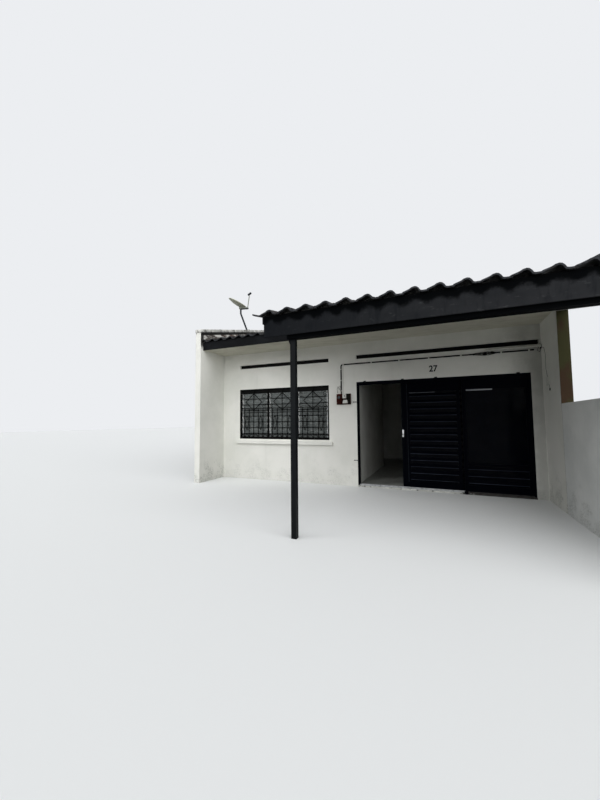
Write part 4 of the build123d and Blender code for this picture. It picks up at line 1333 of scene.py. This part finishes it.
@dataclass
class SlidingDoor:
    """Small parts of the sliding door: pull, padlock, beads, lugs, pins, stop and slat nosing
    strips; the top beads and the strips are painted highlights.
    """

    pull_x: float = 0.022
    pull_z: float = 1.09
    strip_x: float = 0.108
    lug_x: tuple[float, ...] = (0.243, 0.993, 1.602, 2.932)
    pin_z: tuple[float, ...] = (1.735, 0.531)
    stop_x: float = 2.05
    stile: float = 0.06
    lock_stile: float = 0.148
    hidden_stile: float = 0.12
    bottom_rail: float = 0.11
    top_rail: float = 0.21
    leaf_height: float = 2.057
    slats: int = 14
    slat_drop: float = 0.023
    kick_z: float = 0.5
    bead_z: float = 1.878

    def build(self) -> None:
        """Builds the parts of the leaf, of the frame and of the slats."""
        self.lock()
        self.frame_parts()
        self.highlight_nosings("sliding_leaf", self.lock_stile, self.stile, body=Body.DOOR_LEAF)
        self.highlight_nosings("middle_leaf", self.stile, self.hidden_stile)
        # Paler beads at the top of two leaves: painted highlights.
        self.bead("sliding_leaf", 0.152, 0.62, 0.009, Look.DULL_HIGHLIGHT, Body.DOOR_LEAF)
        self.bead("right_leaf", 0.07, 0.49, 0.026, Look.BRIGHT_HIGHLIGHT, Body.HOUSE)
        self.highlight_nosings("right_leaf", self.stile, self.stile, self.kick_z)

    def lock(self) -> None:
        """Builds the pull, hasp and padlock, and the bead that runs up the wide lock stile."""
        low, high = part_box("sliding_leaf")
        at = (low.x + self.pull_x, low.y, self.pull_z)
        with piece("hasp_and_padlock", Look.CHANNEL, "track_metal", Body.DOOR_LEAF) as bm:
            add_blocks(bm, at, (-0.016, -0.004, -0.05, 0.016, 0, 0.07, 0.001),
                       (-0.011, -0.02, -0.005, 0.011, -0.004, 0.012, 0.002),
                       (-0.017, -0.02, -0.075, 0.017, -0.004, -0.033, 0.004))
            add_rods(bm, at, *((x, -0.012, -0.035, x, -0.012, 0.004, 0.0025, 8)
                               for x in (-0.009, 0.009)))
        at = (low.x + self.strip_x, low.y, low.z)
        with piece("stile_bead", Look.BEAD, "door_metal", Body.DOOR_LEAF) as bm:
            add_blocks(bm, at, (-0.004, -0.003, 0.1, 0.004, 0, high.z - low.z - 0.04, 0.001))

    def frame_parts(self) -> None:
        """Builds the fixing lugs, the old gate pins and the block that stops the leaves."""
        low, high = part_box("door_frame")
        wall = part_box("front_wall_left")[0].y
        with piece("frame_lugs", Look.DOOR, "door_metal") as bm:
            for x in self.lug_x:
                at = (x, wall, high.z)
                add_blocks(bm, at, (-0.025, -0.005, -0.012, 0.025, 0.01, 0.016, 0.002))
                add_rods(bm, at, (0, -0.009, 0.004, 0, -0.002, 0.004, 0.006, 6))
        with piece("gate_pins", Look.GRILLE, "door_metal") as bm:
            for z in self.pin_z:
                add_rods(bm, (low.x, wall, z), (-0.075, -0.008, 0, 0.004, -0.008, 0, 0.006),
                         (-0.07, -0.012, 0, -0.07, 0.004, 0, 0.009))
        at = (self.stop_x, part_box("threshold")[0].y, 0.0)
        with piece("door_stop", Look.DOOR, "door_metal") as bm:
            add_blocks(bm, at, (-0.03, -0.012, 0, 0.03, 0.02, 0.062, 0.004))
            add_rods(bm, at, (0, -0.012, 0.04, 0, -0.018, 0.04, 0.008, 6))

    def highlight_nosings(self, leaf: str, left_stile: float, right_stile: float, top_z: float = NOWHERE,
                body: Body = Body.HOUSE) -> None:
        """Builds the folded front edges of a leaf's slats, painted paler as highlights.

        Args:
            leaf: The solid of the leaf.
            left_stile: Where they start, from its left edge.
            right_stile: Where they end, from its right edge.
            top_z: Height that they run up to.
            body: The body that the leaf belongs to.
        """
        low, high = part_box(leaf)
        bottom = high.z - self.leaf_height + self.bottom_rail
        step = (high.z - self.top_rail - bottom) / self.slats
        heights = [bottom + (i + 0.5) * step - self.slat_drop for i in range(self.slats)]
        # Each strip is painted paler as a highlight on its slat.
        with piece(f"{leaf}_nosings", Look.SLAT_HIGHLIGHT, "door_metal", body) as bm:
            for z in (z for z in heights if z < top_z):
                add_block(bm, (low.x + left_stile, low.y - 0.0015, z - 0.006),
                          (high.x - right_stile, low.y + 0.004, z + 0.006), 0.0012)

    def bead(self, leaf: str, left: float, right: float, height: float, look: Look,
             body: Body) -> None:
        """Builds the bead at the top of a leaf, paler as a painted highlight.

        Args:
            leaf: The solid of the leaf.
            left: Where it starts, from the leaf's left edge.
            right: Where it ends, from the same edge.
            height: Its height.
            look: Its finish.
            body: The body that the leaf belongs to.
        """
        at = (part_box(leaf)[0].x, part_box(leaf)[0].y, self.bead_z)
        with piece(f"{leaf}_top_highlight", look, "door_metal", body) as bm:
            add_blocks(bm, at, (left, -0.003, 0, right, 0, height, 0.001))


@dataclass
class BackOpenings:
    """Mouldings, handle and hinges of the back door, and the sashes and sill of the back window."""

    panel_rows: tuple[tuple[float, float], ...] = ((0.16, 0.72), (0.88, 1.28), (1.44, 1.94))
    panel_margin: float = 0.11
    moulding: float = 0.022
    mid_rail: float = 0.08
    stile: float = 0.028
    handle_z: float = 1.02
    hinge_z: tuple[float, ...] = (0.25, 1.05, 1.85)
    sash: float = 0.028
    sash_lap: float = 0.025
    sill_fall: float = 0.012

    def build(self) -> None:
        """Builds the parts of the door and of the window."""
        self.door()
        self.window()

    def door(self) -> None:
        """Builds the raised panels and edge strips, the lever handle and the hinges."""
        low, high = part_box("back_door")
        left, right, height, inner = self.panel_margin, high.x - low.x, high.z, self.moulding
        half_rail, face = self.mid_rail / 2, (low.x, high.y, 0.0)
        with piece("back_door_panels", Look.BACK_DOOR, "door_metal") as bm:
            for z0, z1 in self.panel_rows:
                for x0, x1 in ((left, right / 2 - half_rail),
                               (right / 2 + half_rail, right - left)):
                    add_blocks(bm, face, (x0, -0.004, z0, x1, 0.009, z1, 0.008),
                               (x0 + inner, 0, z0 + inner, x1 - inner, 0.014, z1 - inner, 0.006))
            add_blocks(bm, face, *((x, -0.002, 0, x + self.stile, 0.02, height, 0.003)
                                   for x in (0.0, right - self.stile)),
                       (0, -0.002, height - 0.03, right, 0.02, height, 0.003))
        at = (high.x - 0.075, high.y, self.handle_z)
        with piece("back_door_handle", Look.CHANNEL, "track_metal") as bm:
            add_blocks(bm, at, (-0.018, 0, -0.09, 0.018, 0.008, 0.09, 0.002))
            add_rods(bm, at, (0, 0, 0.03, 0, 0.03, 0.03, 0.008),
                     (0.004, 0.025, 0.03, -0.09, 0.025, 0.03, 0.007))
            add_rods(bm, face, *((0.03, 0.012, z - 0.05, 0.03, 0.012, z + 0.05, 0.007)
                                 for z in self.hinge_z))

    def window(self) -> None:
        """Builds the sash rails and the sloping sill."""
        low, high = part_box("back_window_frame")
        glass_low, glass_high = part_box("back_window_glass")
        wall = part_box("back_wall")[1].y
        middle, y0, y1 = (low.x + high.x) / 2, glass_low.y - 0.008, glass_high.y + 0.012
        with piece("back_sash_rails", Look.CHANNEL, "track_metal") as bm:
            for x0, x1 in ((glass_low.x, middle - self.sash_lap),
                           (middle + self.sash_lap, glass_high.x)):
                for x in (x0, x1 - self.sash):
                    add_block(bm, (x, y0, glass_low.z), (x + self.sash, y1, glass_high.z), 0.002)
                for z in (glass_low.z, glass_high.z - self.sash):
                    add_block(bm, (x0, y0, z), (x1, y1, z + self.sash), 0.002)
        with piece("back_window_sill", Look.WALL, "wall_paint") as bm:
            for vert in add_block(bm, (low.x - 0.06, wall - 0.02, low.z - 0.075),
                                  (high.x + 0.06, wall + 0.05, low.z), 0.004):
                if vert.co.z > low.z - 0.02 and vert.co.y > wall + 0.02:
                    vert.co.z -= self.sill_fall


# ---------------------------------------------------------------- porch


@dataclass
class PorchSteel:
    """Small parts of the porch: the gusset at the left post and the end of the eave batten."""

    gusset_z: float = 2.25
    batten_reach: float = 0.022
    batten_height: float = 0.085

    def build(self) -> None:
        """Builds the batten's end and the gusset."""
        low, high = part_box("porch_fascia")
        with piece("eave_batten_end", Look.FASCIA, "fascia_paint") as bm:
            add_block(bm, (low.x - self.batten_reach, low.y, high.z - self.batten_height),
                      (low.x + 0.001, high.y + 0.03, high.z), 0.002)
        beam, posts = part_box("porch_beam"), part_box("porch_posts")
        low = Vector((beam[0].x, posts[0].y, self.gusset_z))
        high = Vector((posts[0].x + 0.001, posts[1].y, beam[0].z + 0.002))
        with piece("post_gusset", Look.STEEL, "black_steel") as bm:
            add_block(bm, low, high, 0.0)
            rim = cut(bm, (high.x, low.y, low.z), (low.z - high.z, 0.0, low.x - high.x))
            bmesh.ops.holes_fill(bm, edges=rim)


# ---------------------------------------------------------------- services


@dataclass
class Services:
    """Meter, switches, conduit, wires and the house number."""

    number: str = "27"
    number_left: float = 1.49
    number_width: float = 0.15
    number_low: float = 2.27
    number_height: float = 0.122
    number_depth: float = 0.004
    number_swell: float = 0.022
    tube_r: float = 0.0125
    drop_x: float = -0.258
    drop_low: float = 1.9
    run_z: float = 2.54
    bend_r: float = 0.045
    knot_x: float = 2.435
    run_end_x: float = 3.178
    clip_x: tuple[float, ...] = (-0.205, 0.389, 0.941, 1.49, 2.047, 2.69, 3.105)
    drop_clips: tuple[float, ...] = (2.44, 2.2, 1.98)
    cover_mid_x: float = -0.1635
    cover_mid_z: float = 1.75
    cover_taper: float = 0.72
    knot_wire_r: float = 0.0055
    knot_route: tuple[tuple[float, float], ...] = (
        (-0.24, 0.0), (-0.13, 0.6), (-0.05, 1.0), (0.05, 1.0), (0.13, 0.6), (0.22, 0.0))
    loose_wire_r: float = 0.0045
    bell_wire_r: float = 0.0028

    def build(self) -> None:
        """Builds the number, the meter and its boxes, the conduit and the wires."""
        self.house_number()
        self.meters()
        self.conduit()
        self.wires()

    def house_number(self) -> None:
        """Builds the raised number over the door."""
        curve = bpy.data.curves.new("number_form", "FONT")
        curve.body, curve.offset, curve.extrude = self.number, self.number_swell, self.number_depth
        holder = bpy.data.objects.new("number_form", curve)
        mesh = bpy.data.meshes.new_from_object(holder)
        bpy.data.objects.remove(holder)
        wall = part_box("front_wall_left")[0].y
        with piece("house_number", Look.DIGIT, "door_metal") as bm:
            bm.from_mesh(mesh)
            (x0, x1), (y0, y1) = (
                (min(v.co[i] for v in bm.verts), max(v.co[i] for v in bm.verts)) for i in range(2))
            scale = (self.number_width / (x1 - x0), self.number_height / (y1 - y0), 1.0, 1.0)
            upright = Matrix.Rotation(math.pi / 2, 4, "X") @ Matrix.Diagonal(scale)
            at = (self.number_left, wall - self.number_depth, self.number_low)
            place = Matrix.Translation(at) @ upright @ Matrix.Translation((-x0, -y0, 0.0))
            bmesh.ops.transform(bm, matrix=place, verts=bm.verts)
            bmesh.ops.remove_doubles(bm, verts=bm.verts, dist=MERGE_DISTANCE)
            bmesh.ops.recalc_face_normals(bm, faces=bm.faces)

    def meters(self) -> None:
        """Builds the brown meter, its dial, the pale switch plates and the dark fuse cover."""
        face = (0.0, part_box("meter_board")[0].y, 0.0)
        with piece("meter_housing", Look.BAKELITE, "fuse_plastic", replaces=("meter",)) as bm:
            add_blocks(bm, face, (-0.35, -0.05, 1.745, -0.235, 0, 1.888, 0.008, 2),
                       (-0.335, -0.055, 1.70, -0.25, 0, 1.742, 0.004))
            add_rods(bm, face, (-0.292, -0.062, 1.838, -0.292, -0.045, 1.838, 0.04, 24))
        with piece("meter_dial", Look.DIAL, "fuse_plastic") as bm:
            add_rods(bm, face, (-0.292, -0.064, 1.838, -0.292, -0.06, 1.838, 0.028, 24))
            add_blocks(bm, face, (-0.186, -0.047, 1.85, -0.172, -0.043, 1.884, 0.001))
        with piece("switch_plates", Look.METER, "meter_plastic") as bm:
            add_blocks(bm, face, (-0.221, -0.044, 1.818, -0.139, 0, 1.915, 0.004, 2))
            cover = (shift(face, -0.219, -0.05, 1.712), shift(face, -0.108, 0, 1.784))
            for vert in add_block(bm, *cover, 0.004):
                if vert.co.z > self.cover_mid_z:
                    vert.co.x = self.cover_mid_x + (vert.co.x - self.cover_mid_x) * self.cover_taper
        with piece("fuse_cover", Look.FUSE, "fuse_plastic", replaces=("fuse_box",)) as bm:
            add_blocks(bm, face, (-0.139, -0.048, 1.79, -0.068, 0, 1.912, 0.005, 2),
                       (-0.106, -0.044, 1.698, -0.068, 0, 1.788, 0.004))

    def conduit(self) -> None:
        """Builds the conduit (a drop, a tight bend and the run over the door) and its saddles."""
        low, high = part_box("conduit")
        y = (low.y + high.y) / 2
        turn = Vector((self.drop_x + self.bend_r, y, self.run_z - self.bend_r))
        knot = (self.knot_x, y, self.run_z)
        with piece("conduit_run", Look.CONDUIT, "conduit_plastic", replaces=("conduit",)) as bm:
            add_bend(bm, turn, self.bend_r, math.pi / 2, math.pi / 2, self.tube_r, 8, 12)
            add_rods(bm, (0, y, 0),
                     (self.drop_x, 0, self.drop_low, self.drop_x, 0, turn.z, self.tube_r),
                     (turn.x, 0, self.run_z, self.run_end_x, 0, self.run_z, self.tube_r),
                     (3.261, 0.004, 2.592, 3.281, 0.004, 2.592, 0.041, 16))
            add_blocks(bm, knot, (-0.034, -0.022, -0.038, 0.034, 0.01, 0.016, 0.012, 2))
            for rise in (0.021, -0.032):
                add_wire(bm, knot, self.knot_wire_r,
                         *((x, -0.012, rise * share) for x, share in self.knot_route))
        with piece("conduit_saddles", Look.CLIP, "wall_paint") as bm:
            deep = high.y - low.y
            for x in self.clip_x:
                add_blocks(bm, (x, low.y, self.run_z),
                           (-0.012, -0.003, -0.017, 0.012, deep, 0.02, 0.003))
            for z in self.drop_clips:
                add_blocks(bm, (self.drop_x, low.y, z),
                           (-0.02, -0.003, -0.008, 0.02, deep, 0.008, 0.003))

    def wires(self) -> None:
        """Builds the pale tube, the loose wires, the bell wire and the pale cable."""
        wall = (0.0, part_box("conduit")[1].y, 0.0)
        pier = (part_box("party_wall_right")[0].x, wall[1], 0.0)
        with piece("pale_tube", Look.PALE_CONDUIT, "wall_paint") as bm:
            add_rods(bm, wall, (self.knot_x + 0.03, -0.02, 2.596, 3.262, -0.02, 2.6, 0.026, 16),
                     (3.225, -0.022, 2.6, 3.272, -0.022, 2.6, 0.036, 16))
        with piece("loose_wires", Look.WIRE, "conduit_plastic") as bm:
            for route in (
                    ((2.25, -0.02, 2.52), (2.34, -0.03, 2.555), (2.435, -0.03, 2.53),
                     (2.55, -0.03, 2.565), (2.666, -0.02, 2.525)),
                    ((2.3, -0.025, 2.535), (2.435, -0.035, 2.5), (2.52, -0.03, 2.52)),
                    ((3.24, -0.05, 2.575), (3.215, -0.05, 2.52), (3.25, -0.045, 2.49),
                     (3.272, -0.04, 2.545)),
                    ((-0.337, -0.022, 1.93), (-0.345, -0.025, 2.02), (-0.325, -0.025, 2.07),
                     (-0.3, -0.025, 2.03), (-0.27, -0.025, 1.985), (-0.262, -0.02, 1.95))):
                add_wire(bm, wall, self.loose_wire_r, *route)
        with piece("bell_wire", Look.WIRE, "conduit_plastic") as bm:
            add_wire(bm, pier, self.bell_wire_r, *((-0.006, y, z) for y, z in (
                (-0.03, 2.575), (-0.19, 2.531), (-0.25, 2.41), (-0.24, 2.173), (-0.3, 2.017),
                (-0.385, 1.887), (-0.395, 1.814))))
            add_blocks(bm, pier, (-0.012, -0.41, 1.8, 0, -0.38, 1.84, 0.003))
        with piece("pale_cable", Look.CLIP, "wall_paint") as bm:
            add_rods(bm, wall, (-0.209, -0.004, 1.91, -0.209, -0.004, self.run_z, 0.004, 8),
                     (-0.295, 0, 2.08, -0.295, -0.035, 2.08, 0.014))
            add_blocks(bm, pier, (-0.014, -0.385, 1.89, 0, -0.24, 2.03, 0.003))


@dataclass
class SatelliteDish:
    """Pressed dish on the left parapet, with its receiver on an arm."""

    centre: Point = (-3.640, -3.440, 4.775)
    radius: float = 0.3
    depth: float = 0.062
    tilt: float = math.radians(27)
    lean: float = math.radians(8)
    sheet: float = 0.006
    rim: float = 0.004
    rings: int = 9
    steps: int = 56
    bracket_r: float = 0.024

    def build(self) -> None:
        """Builds the dish in place of its plain form, and the bracket between mast and arm."""
        face = [(self.radius * i / self.rings, self.depth * ((i / self.rings) ** 2 - 1))
                for i in range(self.rings + 1)]
        back = [(r, z - self.sheet) for r, z in reversed(face)]
        rim = [(self.radius + self.rim, 0.002), (self.radius + self.rim, -self.sheet - self.rim)]
        axis = Vector((math.sin(self.tilt), math.tan(self.lean), math.cos(self.tilt))).normalized()
        across = Vector((math.cos(self.tilt), 0.0, -math.sin(self.tilt)))
        turn = Matrix((across, axis.cross(across), axis)).transposed().to_4x4()
        with piece("dish_bowl", Look.DISH, "dish_paint", replaces=("dish",)) as bm:
            points, lines = add_line(bm, [(r, 0.0, z) for r, z in face + rim + back])
            bmesh.ops.spin(bm, geom=points + lines, cent=(0, 0, 0), axis=(0, 0, 1), angle=math.tau,
                           steps=self.steps, use_merge=True)
            bmesh.ops.remove_doubles(bm, verts=bm.verts, dist=MERGE_DISTANCE)
            bmesh.ops.recalc_face_normals(bm, faces=bm.faces)
            bmesh.ops.transform(bm, matrix=Matrix.Translation(self.centre) @ turn, verts=bm.verts)
        mast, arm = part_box("dish_mast"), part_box("dish_arm")
        y = (arm[0].y + arm[1].y) / 2
        with piece("dish_bracket", Look.MAST, "black_steel") as bm:
            add_rods(bm, (0, y, 0), (mast[0].x + 0.01, 0, mast[1].z - 0.004,
                                     arm[1].x - 0.05, 0, arm[0].z + 0.004, self.bracket_r, 8))


# ---------------------------------------------------------------- stage


@dataclass(frozen=True)
class Studio:
    """Pale floor, plain world light, two wide suns and the camera at the photo's standpoint."""

    eye: Point = (1.695, -11.302, 1.343)
    yaw: float = math.radians(23.433)
    pitch: float = math.radians(3.714)
    roll: float = math.radians(-0.455)
    focal_px: float = 327.7
    long_side_px: float = 800.0
    sensor_mm: float = 36.0
    floor_half: float = 60.0
    floor_drop: float = 0.001
    glow: float = 0.36
    suns: tuple[tuple[str, float, float, Point], ...] = (
        ("soft_key", 1.5, 70, (-0.45, -1.0, 0.95)), ("soft_fill", 2.45, 80, (1.1, -1.0, 0.72)))

    def build(self) -> None:
        """Builds the floor, the light and the camera."""
        self.floor()
        self.light()
        self.camera()

    def floor(self) -> None:
        """Builds the floor, which isn't part of the house; the eye sees it paler than it shines."""
        bm = bmesh.new()
        bmesh.ops.create_grid(bm, x_segments=2, y_segments=2, size=self.floor_half)
        mesh = bpy.data.meshes.new("studio_floor")
        bm.to_mesh(mesh)
        bm.free()
        ground = bpy.data.objects.new("studio_floor", mesh)
        ground.location.z = -self.floor_drop
        bpy.context.scene.collection.objects.link(ground)
        s = Surface("pale_floor")
        plug(s.tree, s.shader, {"Base Color": s.layer(seen_directly(s.tree), "777775", "e6e8e8"),
                                "Roughness": 0.8})
        mesh.materials.append(s.material)

    def light(self) -> None:
        """Builds the world, with its backdrop, and a soft sun from either side of the front."""
        world = bpy.data.worlds.new("studio_world")
        bpy.context.scene.world = world
        world.use_nodes = True
        tree = world.node_tree
        tree.nodes.clear()
        glow, backdrop = (
            add_node(tree, "ShaderNodeBackground",
                     inputs={"Color": linear(colour), "Strength": power}).outputs[0]
            for colour, power in (("f2f4f8", self.glow), ("eceef1", 1.0)))
        mix = add_node(tree, "ShaderNodeMixShader",
                       inputs={0: seen_directly(tree), 1: glow, 2: backdrop})
        add_node(tree, "ShaderNodeOutputWorld", inputs={"Surface": mix.outputs[0]})
        for name, power, spread, source in self.suns:
            lamp = bpy.data.lights.new(name, "SUN")
            lamp.energy, lamp.angle = power, math.radians(spread)
            holder = bpy.data.objects.new(name, lamp)
            holder.rotation_euler = Vector(source).to_track_quat("Z", "Y").to_euler()
            bpy.context.scene.collection.objects.link(holder)

    def camera(self) -> None:
        """Puts the camera where the photo was taken, with the photo's field of view."""
        across = Vector((math.cos(self.yaw), math.sin(self.yaw), 0.0))
        ahead = Vector((-math.sin(self.yaw) * math.cos(self.pitch),
                        math.cos(self.yaw) * math.cos(self.pitch), math.sin(self.pitch)))
        upward = across.cross(ahead)
        right = across * math.cos(self.roll) + upward * math.sin(self.roll)
        up = upward * math.cos(self.roll) - across * math.sin(self.roll)
        data = bpy.data.cameras.new("photo_camera")
        data.sensor_width = self.sensor_mm
        data.lens = self.focal_px / self.long_side_px * self.sensor_mm
        data.clip_start, data.clip_end = 0.05, 300.0
        camera = bpy.data.objects.new("photo_camera", data)
        turn = Matrix((right, up, -ahead)).transposed().to_4x4()
        camera.matrix_world = Matrix.Translation(self.eye) @ turn
        bpy.context.scene.collection.objects.link(camera)
        bpy.context.scene.camera = camera
        bpy.context.scene.view_settings.view_transform = "Standard"


def main() -> None:
    """Builds the whole scene, sub-assembly by sub-assembly."""
    logging.basicConfig(level=logging.INFO, format="%(name)s %(message)s")
    Studio().build()
    dress_solids()
    for part in (RolledTiles(), RidgeTiles(), Copings(), LouvredWindow(), WroughtGrille(),
                 PorchSteel(), SlidingDoor(), BackOpenings(), Services(), SatelliteDish()):
        part.build()


if __name__ == "__main__":
    main()
